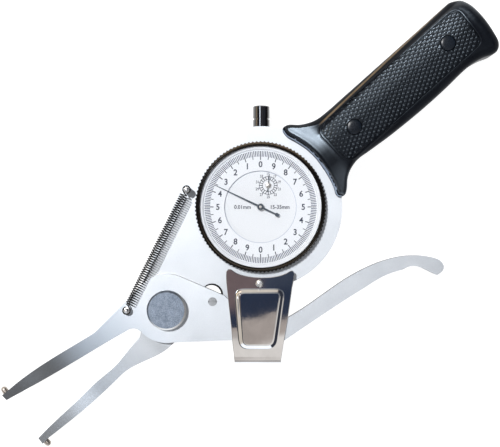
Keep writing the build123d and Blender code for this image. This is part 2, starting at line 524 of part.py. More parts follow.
parts["spindle"] = spindle
_h = BALL_R * math.sqrt(0.5)
tip_edge = (ThreePointArc((0, 0, BALL_R), (BALL_R * math.sin(math.radians(60)), 0, BALL_R * 0.5), (_h, 0, -_h))
            + Polyline((_h, 0, -_h), (1.2, 0, -1.6), (1.9, 0, -2.8), (1.9, 0, -5.5), (0.9, 0, -5.5),
                       (0.9, 0, -9.1), (0, 0, -9.1), (0, 0, BALL_R)))
tip_plane = Plane(origin=(X_SPINDLE, Y_BALL, Z_SPINDLE), x_dir=(1, 0, 0), z_dir=(0, -1, 0))
parts["contact_tip"] = tip_plane * revolve(make_face(tip_edge), axis=Axis.Z)

# ---------------------------------------------------------------- dial, pointers, bezel
dial = cyl(DIAL, CASE_IN - FIT, 15.0, 15.4) - cyl(DIAL, 0.9, 0, 30) - cyl(COUNTER, 0.9, 0, 30)
parts["inner_dial"] = dial


def hand(at, heading_deg, length, w0, w1, tail, tail_w, z0, z1, hub_r, hub_z1, bore):
    """A pointer; heading is anticlockwise from +X."""
    a = math.radians(heading_deg)
    ux, uy = math.cos(a), math.sin(a)
    vx, vy = -uy, ux

    def q(u, v):
        return (at[0] + u * ux + v * vx, at[1] + u * uy + v * vy)
    pts = [q(0, -w0 / 2), q(length, -w1 / 2), q(length, w1 / 2), q(0, w0 / 2),
           q(-tail * 0.78, w0 * 0.36), q(-tail * 0.84, tail_w / 2), q(-tail, tail_w / 2 * 0.8),
           q(-tail, -tail_w / 2 * 0.8), q(-tail * 0.84, -tail_w / 2), q(-tail * 0.78, -w0 * 0.36)]
    h = prism(pts, z0, z1)
    h += cyl(at, hub_r, z0, hub_z1)
    return h - cyl(at, bore, 0, 40)


MAIN_HEADING = 90 + 64.5
parts["main_pointer"] = hand(DIAL, MAIN_HEADING, 24.2, 0.95, 0.25, 9.6, 1.7, 16.75, 17.0, 1.5, 17.5, 0.45)
parts["counter_hand"] = hand(COUNTER, 90 - 6, 4.9, 0.6, 0.2, 3.0, 0.9, 15.65, 15.8, 1.25, 16.05, 0.4)

bezel_prof = [(27.46, 13.95), (30.1, 13.95), (30.38, 14.2), (30.38, 18.3), (30.0, 18.65), (29.6, 18.6),
              (28.85, 19.15), (28.22, 19.15), (28.22, 18.32), (28.92, 18.32), (28.92, 15.95),
              (27.46, 15.95), (27.46, 14.85), (27.95, 14.85), (27.95, 14.05), (27.46, 14.05)]
parts["bezel_ring"] = turned(bezel_prof, DIAL)
parts["crystal"] = turned([(0, 17.9), (28.9, 17.6), (28.9, 18.3), (28.1, 18.3), (27.8, 18.4), (0, 18.7)], DIAL)
parts["scale_ring"] = tube(DIAL, 28.9, 17.0, 15.95, 16.35)
wire = Pos(DIAL[0], DIAL[1], 14.45) * Torus(27.32, 0.28)
# the wire ring is open for 20 degrees, as a snap ring is
wire -= prism([DIAL] + arc_points(DIAL, 32, 250, 270, 4), 13, 16)
parts["bezel_snap_ring"] = wire

# ---------------------------------------------------------------- arm
lobe_c, lobe_r = (-38.85, -39.50), 16.34
ang0 = math.degrees(math.atan2(-25.73 - lobe_c[1], -46.69 - lobe_c[0]))
ang1 = math.degrees(math.atan2(-24.70 - lobe_c[1], -32.36 - lobe_c[0]))
top_arc = arc_points(lobe_c, math.hypot(-46.69 - lobe_c[0], -25.73 - lobe_c[1]), ang0, ang1, 12)
blow0 = math.degrees(math.atan2(-50.66 - lobe_c[1], -50.94 - lobe_c[0]))
low_arc = arc_points(lobe_c, lobe_r, blow0 + 360 if blow0 < 0 else blow0, 280, 12)
inner_leg = ARM_LEG_INNER[::-1]                       # from the crotch to the tip
outer_leg = ARM_LEG_OUTER[::-1]                       # from the tip back to the lobe
low_start = low_arc[0]
arm = run_prism([("l", [ARM_UPPER[0], ARM_UPPER[1]]), ("s", ARM_UPPER[2:]), ("s", LEVER_TOP[1:-1]),
                 ("s", [LEVER_TOP[-1], LEVER_END[0]]), ("s", LEVER_END[1:] + [LEVER_BOT[0]]),
                 ("s", LEVER_BOT[1:]), ("s", [ARM_LOW[0], ARM_LOW[1]]), ("l", [low_arc[-1]]),
                 ("s", low_arc[::-1][1:]), ("s", [inner_leg[1], inner_leg[2]]), ("s", inner_leg[3:7]),
                 ("s", inner_leg[7:]), ("l", [outer_leg[0], outer_leg[1]]), ("s", outer_leg[2:6]),
                 ("s", outer_leg[6:-1]), ("s", [outer_leg[-1]] + top_arc[1:])], Z_ARM0, Z_ARM1)
BUSH_R = 6.2
arm -= cyl(PIVOT, BUSH_R + FIT, 0, 30)
arm -= cyl(POST_ARM, 1.2 + FIT, 13.95, 30)
arm -= csk_hole(STOP_SCREW, 1.0 + FIT, 2.05 + FIT, Z_ARM0, Z_ARM1, 1.3 + FIT)


def uv(u, v):
    """Lever coordinates at rest: u along the pad line from the pivot, v across it."""
    return turn_about((PIVOT[0] + u, PIVOT[1] + v), PIVOT, -RANGE_DEG / 2)


u_mid = LEVER / math.cos(HALF)
ANVIL_SCREWS = [uv(u_mid - 2.6, -BALL_R - 2.9), uv(u_mid + 2.6, -BALL_R - 2.9)]
for p in ANVIL_SCREWS:
    arm -= csk_hole(p, 1.0 + FIT, 1.9 + FIT, Z_ARM0, Z_ARM1, 1.2 + FIT)
arm -= contact_pin(move_ball, move_dir, 15.6, 4.5, BALL_R + FIT)
parts["arm_plate"] = arm
parts["moving_contact"] = moving_contact
parts["arm_bush"] = tube(PIVOT, BUSH_R, 5.05, Z_ARM0, Z_ARM1)
anvil = prism([uv(u_mid - 5.2, -BALL_R), uv(u_mid + 5.2, -BALL_R), uv(u_mid + 5.2, -BALL_R - 5.4),
               uv(u_mid - 5.2, -BALL_R - 5.4)], 2.8, Z_ARM0)
for p in ANVIL_SCREWS:
    anvil -= cyl(p, 1.0 + FIT, 8.0, 20)
parts["anvil_block"] = anvil
parts["anvil_screws"] = group([csk_screw(p, 1.0, 1.9, 8.4, Z_ARM1, 1.2) for p in ANVIL_SCREWS])
parts["stop_bush"] = tube(STOP_SCREW, STOP_BUSH_R, 1.0 + FIT, 9.6, Z_ARM0)
parts["stop_screw"] = csk_screw(STOP_SCREW, 1.0, 2.05, 9.8, Z_ARM1, 1.3)

# ---------------------------------------------------------------- guard
SHEET = 0.5
ZG0 = 17.85
ZG1 = ZG0 + SHEET
Y_BOT, R_BEND, Z_LIP, RETURN = -65.20, 2.2, 1.6, 9.0


def bent(y_bot, r, z_top, z_back, off):
    """Side profile (y, z) of the bent sheet: front leaf, bottom flange and a short rear lip."""
    pts = [(-20.0, z_top)]
    for i in range(9):
        a = math.radians(90 + 90 * i / 8)
        pts.append((y_bot + r + r * math.cos(a), z_top - r + r * math.sin(a)))
    for i in range(9):
        a = math.radians(180 + 90 * i / 8)
        pts.append((y_bot + r + r * math.cos(a), z_back + r + r * math.sin(a)))
    pts.append((y_bot + RETURN, z_back))
    return pts


outer = bent(Y_BOT, R_BEND, ZG1, Z_LIP, 0)
inner = bent(Y_BOT + SHEET, R_BEND - SHEET, ZG0, Z_LIP + SHEET, 0)
inner[-1] = (outer[-1][0], Z_LIP + SHEET)
strip_face = make_face(Polyline(*[(0, y, z) for y, z in outer + inner[::-1]], close=True))
strip = Pos(-20, 0, 0) * extrude(strip_face, amount=50, dir=(1, 0, 0))
guard = strip & prism(GUARD, -1, 30)
base = flat(BULGE_BASE)
base = fillet(base.vertices(), radius=2.8)
out_b = Pos(0, 0, ZG1 - 0.01) * extrude(base, amount=BULGE_RISE, taper=BULGE_TAPER)
in_face = offset(base, amount=-SHEET)
in_b = Pos(0, 0, ZG0 - 0.01) * extrude(in_face, amount=BULGE_RISE, taper=BULGE_TAPER)
guard = guard + out_b - in_b
guard -= cyl(GUARD_SCREW, 0.85, 10, 30)
parts["guard_cover"] = guard
parts["guard_spacer"] = tube(GUARD_SCREW, 1.75, 0.85, Z_FRAME1, ZG0)
parts["guard_screw"] = turned([(0, 9.9), (0.8, 9.9), (0.8, ZG1), (1.85, ZG1), (1.85, ZG1 + 0.45),
                               (1.3, ZG1 + 0.95), (0, ZG1 + 1.1)], GUARD_SCREW) \
    - Pos(GUARD_SCREW[0], GUARD_SCREW[1], ZG1 + 1.1) * Box(2.6, 0.4, 1.0) \
    - Pos(GUARD_SCREW[0], GUARD_SCREW[1], ZG1 + 1.1) * Box(0.4, 2.6, 1.0)

# ---------------------------------------------------------------- write
os.makedirs("parts", exist_ok=True)
lo = [1e9] * 3
hi = [-1e9] * 3
for name, shape in parts.items():
    if isinstance(shape, list):
        s = Compound(children=[Pos(-OX, -OY, 0) * one for one in shape])
    else:
        s = Pos(-OX, -OY, 0) * shape
    b = s.bounding_box()
    for i, (p, q) in enumerate(((b.min.X, b.max.X), (b.min.Y, b.max.Y), (b.min.Z, b.max.Z))):
        lo[i], hi[i] = min(lo[i], p), max(hi[i], q)
    export_step(s, "parts/" + name + ".step")
print("box", [round(v, 3) for v in lo], [round(v, 3) for v in hi])
print("plunger m/rad", K_PLUNGER / 1000, "rack pinion r", R_RACK_PINION, "gear A", GEAR_A, "counter", COUNTER)
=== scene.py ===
import bpy
import math
import numpy as np
from mathutils.geometry import delaunay_2d_cdt
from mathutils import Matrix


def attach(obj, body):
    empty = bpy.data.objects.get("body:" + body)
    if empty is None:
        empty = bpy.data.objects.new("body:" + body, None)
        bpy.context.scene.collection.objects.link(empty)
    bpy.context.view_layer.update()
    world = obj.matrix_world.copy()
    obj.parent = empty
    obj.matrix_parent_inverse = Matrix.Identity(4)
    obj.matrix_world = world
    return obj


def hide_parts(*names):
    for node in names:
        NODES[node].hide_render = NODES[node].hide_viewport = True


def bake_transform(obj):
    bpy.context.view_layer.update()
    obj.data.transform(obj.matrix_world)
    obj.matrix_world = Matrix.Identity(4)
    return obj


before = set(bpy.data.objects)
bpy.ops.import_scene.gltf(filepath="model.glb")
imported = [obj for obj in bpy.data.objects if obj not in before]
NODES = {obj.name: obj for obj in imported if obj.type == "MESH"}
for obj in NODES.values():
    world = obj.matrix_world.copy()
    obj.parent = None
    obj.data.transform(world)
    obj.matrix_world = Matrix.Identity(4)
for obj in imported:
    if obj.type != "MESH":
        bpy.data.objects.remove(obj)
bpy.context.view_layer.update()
scene = bpy.context.scene

# Lengths below are millimetres about the drawing origin; V() turns them into the row frame, in metres.
OX, OY = 0.495, -0.015


def V(x, y, z):
    return ((x - OX) * 1e-3, (y - OY) * 1e-3, z * 1e-3)


DISC, DISC_R = (5.32, 7.68), 38.15
DIAL = (4.94, 7.75)
PIVOT = (-38.76, -40.29)
POST_FRAME, POST_ARM = (-29.47, 15.77), (-57.36, -40.48)
GUARD_SCREW = (4.47, -27.98)
PLUGS = [(91.61, 83.53), (48.31, 44.78)]
_d = math.hypot(8.59 - DIAL[0], 17.84 - DIAL[1])
COUNTER = (DIAL[0] + (8.59 - DIAL[0]) * 10.73 / _d, DIAL[1] + (17.84 - DIAL[1]) * 10.73 / _d)

HANDLE = [(15.40, 44.73), (17.68, 46.18), (23.25, 46.21), (28.05, 47.28), (31.49, 48.84),
          (36.81, 53.03), (43.37, 58.88), (49.95, 64.70), (56.66, 70.71), (63.23, 76.54),
          (70.06, 82.68), (76.78, 88.66), (83.58, 94.79), (90.77, 101.24), (93.18, 103.15),
          (96.38, 104.00), (98.57, 104.10), (102.39, 102.28), (106.31, 98.74), (110.20, 94.17),
          (113.56, 89.39), (116.06, 85.16), (116.36, 82.56), (115.57, 80.58), (113.60, 79.12),
          (108.85, 77.29), (105.35, 75.40), (101.87, 73.00), (98.60, 70.12), (92.01, 63.63),
          (85.24, 57.38), (78.41, 51.44), (71.76, 45.96), (65.02, 40.63), (58.48, 35.83),
          (54.63, 33.07), (51.30, 30.73), (49.12, 28.58), (46.69, 24.88), (45.42, 20.96),
          (45.11, 16.19), (44.37, 13.52), (42.62, 12.48), (40.68, 13.12), (39.16, 17.26),
          (36.86, 21.93), (33.94, 26.48), (30.43, 31.08), (25.59, 35.55), (20.83, 38.63),
          (16.94, 40.97), (15.34, 43.48)]
PANEL = [(33.7, 46.5), (93.5, 98.8), (97.2, 98.9), (106.9, 86.2), (107.2, 83.4), (104.9, 80.8),
         (48.3, 30.0), (43.9, 29.6), (32.4, 42.3)]
AXIS_AT, AXIS_DIR = (73.26, 66.31), (0.769, 0.640)

GUARD = [(-11.05, -22.37), (-10.21, -21.44), (-8.95, -21.35), (-7.50, -22.37), (-5.41, -23.45),
         (-2.28, -24.38), (0.84, -24.89), (3.96, -25.17), (7.09, -25.17), (10.21, -24.98),
         (14.36, -24.15), (17.48, -22.89), (19.16, -21.96), (20.18, -22.28), (20.56, -23.03)]
GUARD_RIGHT = [(20.56, -23.03), (19.34, -32.58), (17.76, -43.54), (15.90, -54.44), (14.31, -64.47), (13.84, -66.50)]
GUARD_LEFT = [(-11.42, -23.31), (-10.95, -27.92), (-10.02, -37.29), (-8.76, -48.20), (-8.30, -54.44),
              (-7.23, -64.47), (-6.90, -66.50)]
BULGE = [(-7.40, -30.30), (16.40, -30.30), (12.40, -58.75), (-5.10, -58.75)]


# ------------------------------------------------------------------ material nodes
class Mat:
    """A Principled material whose colour, roughness and relief come from procedural nodes."""

    def __init__(self, name, metallic=0.0, ior=None, coat=None, specular=None, alpha=None):
        self.m = bpy.data.materials.new(name)
        self.m.use_nodes = True
        self.nt = self.m.node_tree
        self.nt.nodes.clear()
        self.out = self.nt.nodes.new("ShaderNodeOutputMaterial")
        self.b = self.nt.nodes.new("ShaderNodeBsdfPrincipled")
        self.nt.links.new(self.b.outputs[0], self.out.inputs[0])
        self.b.inputs["Metallic"].default_value = metallic
        if ior is not None:
            self.b.inputs["IOR"].default_value = ior
        if coat is not None:
            self.b.inputs["Coat Weight"].default_value = coat[0]
            self.b.inputs["Coat Roughness"].default_value = coat[1]
        if specular is not None:
            self.b.inputs["Specular IOR Level"].default_value = specular
        if alpha is not None:
            self.b.inputs["Alpha"].default_value = alpha
        self.tc = self.nt.nodes.new("ShaderNodeTexCoord")

    def link(self, a, b):
        self.nt.links.new(a, b)

    def noise(self, scale, detail=3.0, rough=0.55, stretch=(1, 1, 1), offset=(0, 0, 0)):
        """Noise in object space; scale is cells per millimetre."""
        mp = self.nt.nodes.new("ShaderNodeMapping")
        mp.inputs["Scale"].default_value = stretch
        mp.inputs["Location"].default_value = offset
        self.link(self.tc.outputs["Object"], mp.inputs["Vector"])
        n = self.nt.nodes.new("ShaderNodeTexNoise")
        n.inputs["Scale"].default_value = scale * 1000
        n.inputs["Detail"].default_value = detail
        n.inputs["Roughness"].default_value = rough
        self.link(mp.outputs[0], n.inputs["Vector"])
        return n.outputs["Fac"]

    def rings(self, at, scale, z_axis=True):
        """Turning marks: a wave in the distance from a vertical axis."""
        mp = self.nt.nodes.new("ShaderNodeMapping")
        x, y, _ = V(at[0], at[1], 0)
        mp.inputs["Location"].default_value = (-x, -y, 0)
        self.link(self.tc.outputs["Object"], mp.inputs["Vector"])
        w = self.nt.nodes.new("ShaderNodeTexWave")
        w.wave_type = "RINGS"
        w.rings_direction = "Z"
        w.inputs["Scale"].default_value = scale * 1000
        w.inputs["Distortion"].default_value = 0.4
        w.inputs["Detail"].default_value = 2.0
        self.link(mp.outputs[0], w.inputs["Vector"])
        return w.outputs["Fac"]

    def ramp(self, fac, lo, hi, a=0.3, b=0.7):
        r = self.nt.nodes.new("ShaderNodeValToRGB")
        r.color_ramp.elements[0].position = a
        r.color_ramp.elements[1].position = b
        r.color_ramp.elements[0].color = (*lo, 1)
        r.color_ramp.elements[1].color = (*hi, 1)
        self.link(fac, r.inputs["Fac"])
        return r.outputs["Color"]

    def span(self, fac, a, b, lo=0.25, hi=0.75):
        r = self.nt.nodes.new("ShaderNodeMapRange")
        r.inputs["From Min"].default_value = lo
        r.inputs["From Max"].default_value = hi
        r.inputs["To Min"].default_value = a
        r.inputs["To Max"].default_value = b
        self.link(fac, r.inputs["Value"])
        return r.outputs["Result"]

    def mix(self, fac, a, b):
        m = self.nt.nodes.new("ShaderNodeMix")
        m.data_type = "RGBA"
        if isinstance(fac, float):
            m.inputs["Factor"].default_value = fac
        else:
            self.link(fac, m.inputs["Factor"])
        self.link(a, m.inputs[6])
        if isinstance(b, tuple):
            m.inputs[7].default_value = (*b, 1)
        else:
            self.link(b, m.inputs[7])
        return m.outputs[2]

    def math(self, op, a, b=None):
        m = self.nt.nodes.new("ShaderNodeMath")
        m.operation = op
        for i, v in enumerate((a, b)):
            if v is None:
                continue
            if isinstance(v, (int, float)):
                m.inputs[i].default_value = v
            else:
                self.link(v, m.inputs[i])
        return m.outputs[0]

    def color(self, socket):
        self.link(socket, self.b.inputs["Base Color"])

    def rough(self, socket):
        self.link(socket, self.b.inputs["Roughness"])

    def bump(self, fac, height_mm, strength=0.6, before=None):
        n = self.nt.nodes.new("ShaderNodeBump")
        n.inputs["Strength"].default_value = strength
        n.inputs["Distance"].default_value = height_mm * 1e-3
        self.link(fac, n.inputs["Height"])
        if before is not None:
            self.link(before, n.inputs["Normal"])
        self.link(n.outputs[0], self.b.inputs["Normal"])
        return n.outputs[0]


def simple(name, lo, hi, metallic, r0, r1, grain, relief, ior=None, coat=None, stretch=(1, 1, 1), specular=None,
           strength=0.5, big=0.15):
    """Two tones in a fine grain, over slower patches, with the grain in the relief too."""
    k = Mat(name, metallic, ior, coat, specular)
    fine = k.noise(grain, 3, 0.6, stretch)
    slow = k.noise(big, 3, 0.55)
    both = k.math("ADD", k.math("MULTIPLY", fine, 0.6), k.math("MULTIPLY", slow, 0.4))
    k.color(k.ramp(both, lo, hi, 0.35, 0.65))
    k.rough(k.span(both, r0, r1, 0.35, 0.65))
    if relief:
        k.bump(fine, relief, strength)
    return k.m


# ------------------------------------------------------------------ materials
def plate_material(name, stops, lift=1.0, right=1.0, bright=None):
    """Satin plated sheet with painted light: cut edges painted dark as painted shade, and legs whose tone changes along
    their length as painted reflection and painted shadow; stops are (millimetres down the leg, share of the plate's
    tone, coolness)."""
    k = Mat(name, 0.80)
    fine = k.noise(3.2, 3, 0.6)
    slow = k.noise(0.06, 3, 0.5)
    both = k.math("ADD", k.math("MULTIPLY", fine, 0.55), k.math("MULTIPLY", slow, 0.45))
    tone = k.ramp(both, tuple(c * lift for c in (0.520, 0.548, 0.580)), tuple(c * lift for c in (0.605, 0.630, 0.660)),
                  0.35, 0.65)
    sep = k.nt.nodes.new("ShaderNodeSeparateXYZ")
    k.link(k.tc.outputs["Object"], sep.inputs[0])
    along = k.math("ADD", k.math("MULTIPLY", sep.outputs[0], -0.74), k.math("MULTIPLY", sep.outputs[1], -0.67))
    at = k.math("ADD", k.span(along, 0.0, 1.0, 0.060, 0.145), k.math("MULTIPLY", k.math("SUBTRACT", fine, 0.5), 0.05))
    # painted reflection: the ramp below darkens and lightens the legs along their length by the light they reflect
    r = k.nt.nodes.new("ShaderNodeValToRGB")
    r.color_ramp.interpolation = "B_SPLINE"
    e = r.color_ramp.elements
    e[0].position, e[0].color = 0.0, (1, 1, 1, 1)
    e[1].position = (stops[0][0] - 60) / 85
    for n_, (mm, share, cool) in enumerate(stops):
        q = e[1] if n_ == 0 else e.new((mm - 60) / 85)
        q.color = (share * (1 - 0.10 * cool), share, share * (1 + 0.11 * cool), 1)
    k.link(at, r.inputs["Fac"])
    # painted sheen: the plate's tone is scaled up towards the right by the factor right
    wide = k.nt.nodes.new("ShaderNodeVectorMath")
    wide.operation = "SCALE"
    k.link(tone, wide.inputs[0])
    k.link(k.span(sep.outputs[0], 1.0, right, 0.0, 0.040), wide.inputs["Scale"])
    tone = wide.outputs[0]
    m = k.nt.nodes.new("ShaderNodeMix")
    m.data_type = "RGBA"
    m.blend_type = "MULTIPLY"
    m.inputs["Factor"].default_value = 1.0
    k.link(tone, m.inputs[6])
    k.link(r.outputs["Color"], m.inputs[7])
    # painted shade: faces that are not flat, the cut edges, are painted near black, standing in for the dark they
    # reflect
    geo = k.nt.nodes.new("ShaderNodeNewGeometry")
    nz = k.nt.nodes.new("ShaderNodeSeparateXYZ")
    k.link(geo.outputs["True Normal"], nz.inputs[0])
    flat_ = k.span(k.math("ABSOLUTE", nz.outputs[2]), 0.0, 1.0, 0.30, 0.97)
    edge = k.ramp(fine, (0.030, 0.028, 0.027), (0.075, 0.07, 0.066), 0.35, 0.65)
    if bright is not None:
        # painted highlight: on the arm the cut edges left of the given x, round the pivot, are painted pale where they
        # catch the light
        edge_painted_highlight = k.span(sep.outputs[0], 1.0, 0.0, bright - 0.004, bright + 0.004)
        edge = k.mix(edge_painted_highlight, edge, k.ramp(fine, (0.50, 0.47, 0.44), (0.66, 0.63, 0.60), 0.35, 0.65))
    k.color(k.mix(flat_, edge, m.outputs[2]))
    k.rough(k.span(both, 0.40, 0.47, 0.35, 0.65))
    k.bump(fine, 0.012, 0.35)
    return k.m


# painted light: the frame's stops paint the shadow of the arm's edge near 71 mm and a bright sheen near 114 mm down the
# lower leg
M_FRAME = plate_material("satin_plate_grain_painted_sheen", [(66, 0.84, 0), (71, 0.66, 0), (75, 0.88, 0), (80, 0.80, 0.1),
                                               (86, 0.76, 0.2), (92, 0.73, 0.3), (99, 0.70, 0.4), (104, 0.60, 0.4),
                                               (109, 0.84, 0.4), (114, 0.99, 0.4), (119, 0.83, 0.4), (124, 0.53, 0.2),
                                               (130, 0.47, 0.2), (138, 0.34, 0)], 0.865, 1.185)
# painted reflection: the arm's stops darken its leg towards the tip
M_ARM = plate_material("satin_plate_arm_grain_painted_sheen", [(68, 0.98, 0.2), (75, 0.84, 0.4), (80, 0.78, 0.5), (86, 0.68, 0.6),
                                                 (92, 0.57, 0.7), (96, 0.51, 0.7), (101, 0.39, 0.7), (105, 0.30, 0.6),
                                                 (109, 0.205, 0.4), (114, 0.148, 0), (120, 0.168, 0), (126, 0.195, 0.3),
                                                 (132, 0.14, 0)], 0.91, bright=-0.024)
M_PIN = simple("hard_pin_ground", (0.30, 0.26, 0.22), (0.52, 0.47, 0.42), 0.9, 0.28, 0.4, 4.0, 0.006)
M_SCREW = simple("screw_head_dull", (0.15, 0.155, 0.16), (0.30, 0.31, 0.32), 0.85, 0.32, 0.48, 4.0, 0.012)
M_STEEL = simple("bright_steel_ground", (0.60, 0.59, 0.58), (0.78, 0.78, 0.78), 1.0, 0.22, 0.34, 5.0, 0.004)
M_BRASS_BUSH = simple("bronze_bush", (0.42, 0.30, 0.14), (0.60, 0.45, 0.24), 1.0, 0.3, 0.42, 4.0, 0.005)
M_BRASS = simple("rolled_brass", (0.60, 0.44, 0.18), (0.76, 0.58, 0.28), 1.0, 0.26, 0.38, 3.0, 0.004, stretch=(0.15, 1, 1))
M_WIRE = simple("spring_wire_oiled", (0.006, 0.006, 0.006), (0.022, 0.021, 0.020), 0.45, 0.26, 0.36, 2.5, 0.006, specular=0.3)
M_PLUG = simple("plug_plastic_smooth", (0.003, 0.005, 0.009), (0.009, 0.013, 0.020), 0.0, 0.24, 0.32, 1.6, 0.010, specular=0.24)
M_GLOSS = simple("black_gloss_lacquer", (0.002, 0.002, 0.003), (0.006, 0.005, 0.005), 0.0, 0.08, 0.14, 1.2, 0.004,
                 coat=(0.8, 0.05), specular=0.9)
M_INK = simple("print_ink", (0.010, 0.014, 0.036), (0.022, 0.030, 0.062), 0.0, 0.5, 0.6, 3.0, 0.0)
M_INK_FINE = simple("print_ink_fine", (0.018, 0.026, 0.070), (0.040, 0.052, 0.120), 0.0, 0.5, 0.6, 3.0, 0.0)
M_INK_PALE = simple("print_ink_pale", (0.42, 0.47, 0.60), (0.50, 0.55, 0.68), 0.0, 0.5, 0.6, 3.0, 0.0)
M_HAND = simple("hand_blued", (0.018, 0.028, 0.042), (0.045, 0.062, 0.085), 0.5, 0.3, 0.4, 3.0, 0.004)
M_HUB = simple("hub_nickel", (0.42, 0.40, 0.37), (0.60, 0.58, 0.55), 1.0, 0.28, 0.4, 5.0, 0.004)


def blasted_material():
    k = Mat("blasted_steel_speckle", 0.9)
    fine = k.noise(2.1, 5, 0.75)
    slow = k.noise(0.35, 3, 0.6)
    both = k.math("ADD", k.math("MULTIPLY", fine, 0.7), k.math("MULTIPLY", slow, 0.3))
    blast = k.ramp(both, (0.072, 0.092, 0.124), (0.25, 0.289, 0.345), 0.36, 0.64)
    geo = k.nt.nodes.new("ShaderNodeNewGeometry")
    nz = k.nt.nodes.new("ShaderNodeSeparateXYZ")
    k.link(geo.outputs["True Normal"], nz.inputs[0])
    # partly real, partly painted highlight: the turned chamfer is painted bright steel only where it faces the lower
    # right, where it catches the light
    away = k.math("SUBTRACT", nz.outputs[0], nz.outputs[1])
    turned_edge_painted_sheen = k.math("MULTIPLY", k.span(nz.outputs[2], 1.0, 0.0, 0.90, 0.97), k.span(away, 0.0, 1.0, -0.3, 0.5))
    k.color(k.mix(turned_edge_painted_sheen, blast, k.ramp(fine, (0.70, 0.69, 0.67), (0.84, 0.83, 0.81), 0.3, 0.7)))
    k.rough(k.span(both, 0.42, 0.56, 0.35, 0.65))
    k.bump(fine, 0.06, 0.7)
    return k.m


M_BLAST = blasted_material()


def grip_material():
    k = Mat("grip_plastic_moulded", 0.0, specular=0.48)
    k.b.inputs["Specular Tint"].default_value = (0.74, 0.87, 1.0, 1)
    fine = k.noise(3.5, 4, 0.65)
    slow = k.noise(0.12, 2, 0.5)
    both = k.math("ADD", k.math("MULTIPLY", fine, 0.5), k.math("MULTIPLY", slow, 0.5))
    black = k.ramp(both, (0.0030, 0.0036, 0.0052), (0.0068, 0.0080, 0.011), 0.35, 0.65)
    side = k.nt.nodes.new("ShaderNodeSeparateXYZ")
    k.link(k.tc.outputs["Object"], side.inputs[0])
    s_ = k.math("SUBTRACT", k.math("MULTIPLY", side.outputs[1], 0.769), k.math("MULTIPLY", side.outputs[0], 0.640))
    t_ = k.math("ADD", k.math("MULTIPLY", side.outputs[0], 0.769), k.math("MULTIPLY", side.outputs[1], 0.640))
    across = k.math("SUBTRACT", s_, k.math("MULTIPLY", t_, 0.065))
    shaft = k.span(t_, 0.0, 1.0, 0.0490, 0.0525)
    gloss = k.math("ADD", k.span(s_, 0.14, 0.36, -0.0063, 0.0030), k.span(s_, 0.0, 1.05, 0.0045, 0.0115))
    gloss = k.math("MULTIPLY", gloss, k.span(across, 1.0, 0.13, 0.0082, 0.0092))
    gloss = k.math("MULTIPLY", gloss, k.span(t_, 1.0, 0.6, 0.130, 0.137))
    horn = k.math("ADD", k.span(s_, 0.98, 0.085, -0.0120, -0.0030), k.span(s_, 0.0, 0.50, 0.0030, 0.0120))
    k.link(k.math("ADD", k.math("MULTIPLY", gloss, shaft), k.math("MULTIPLY", horn, k.span(shaft, 1.0, 0.0, 0.0, 1.0))),
           k.b.inputs["Specular IOR Level"])
    # painted highlight: the flat lip beside the dial is painted pale blue where it catches the light
    sep = k.nt.nodes.new("ShaderNodeSeparateXYZ")
    k.link(k.tc.outputs["Object"], sep.inputs[0])
    geo = k.nt.nodes.new("ShaderNodeNewGeometry")
    nz = k.nt.nodes.new("ShaderNodeSeparateXYZ")
    k.link(geo.outputs["True Normal"], nz.inputs[0])
    low = k.math("MULTIPLY", k.span(sep.outputs[2], 0.0, 1.0, 0.01550, 0.01562), k.span(sep.outputs[2], 1.0, 0.0, 0.0160, 0.0162))
    lip = k.math("MULTIPLY", low, k.span(nz.outputs[2], 0.0, 1.0, 0.80, 0.92))
    # painted highlight: a thin warm line is painted along the upper edge of the grip, standing in for the light it
    # reflects
    edge_line_painted_highlight = k.math("MULTIPLY", k.span(across, 0.0, 1.0, 0.0109, 0.0113), k.span(across, 1.0, 0.0, 0.0117, 0.0121))
    edge_line_painted_highlight = k.math("MULTIPLY", edge_line_painted_highlight, k.math("MULTIPLY", k.span(t_, 0.0, 1.0, 0.0530, 0.0575), k.span(t_, 1.0, 0.0, 0.132, 0.138)))
    black = k.mix(edge_line_painted_highlight, black, k.ramp(both, (0.11, 0.078, 0.046), (0.20, 0.145, 0.088), 0.35, 0.65))
    k.color(k.mix(lip, black, k.ramp(fine, (0.17, 0.21, 0.28), (0.26, 0.31, 0.39), 0.35, 0.65)))
    k.rough(k.span(both, 0.29, 0.36, 0.35, 0.65))
    k.bump(fine, 0.005, 0.35)
    return k.m


M_GRIP = grip_material()


def chrome_material():
    k = Mat("chrome_sheet_drawn", 1.0)
    fine = k.noise(1.6, 4, 0.6, (1.0, 0.35, 1.0))
    slow = k.noise(0.10, 3, 0.5)
    k.color(k.ramp(slow, (0.70, 0.69, 0.68), (0.80, 0.79, 0.78), 0.35, 0.65))
    k.rough(k.span(fine, 0.022, 0.040, 0.3, 0.7))
    n = k.bump(slow, 0.30, 0.018)
    k.bump(fine, 0.002, 0.30, n)
    return k.m


M_CHROME = chrome_material()


def case_material():
    k = Mat("case_plated_turned", 0.95)
    fine = k.noise(3.0, 3, 0.6)
    k.color(k.ramp(fine, (0.55, 0.56, 0.58), (0.72, 0.73, 0.75), 0.3, 0.7))
    k.rough(k.span(fine, 0.26, 0.36, 0.3, 0.7))
    k.bump(k.rings(DIAL, 1.1), 0.01, 0.35)
    return k.m


M_CASE = case_material()


def dial_material(name, a, b):
    k = Mat(name, 0.0)
    fine = k.noise(2.0, 3, 0.6)
    k.color(k.ramp(fine, a, b, 0.3, 0.7))
    k.rough(k.span(fine, 0.42, 0.52, 0.3, 0.7))
    k.bump(fine, 0.004, 0.3)
    return k.m


M_DIAL = dial_material("dial_enamel", (0.815, 0.84, 0.87), (0.83, 0.852, 0.88))
M_SCALE = dial_material("scale_enamel", (0.84, 0.865, 0.905), (0.855, 0.88, 0.915))


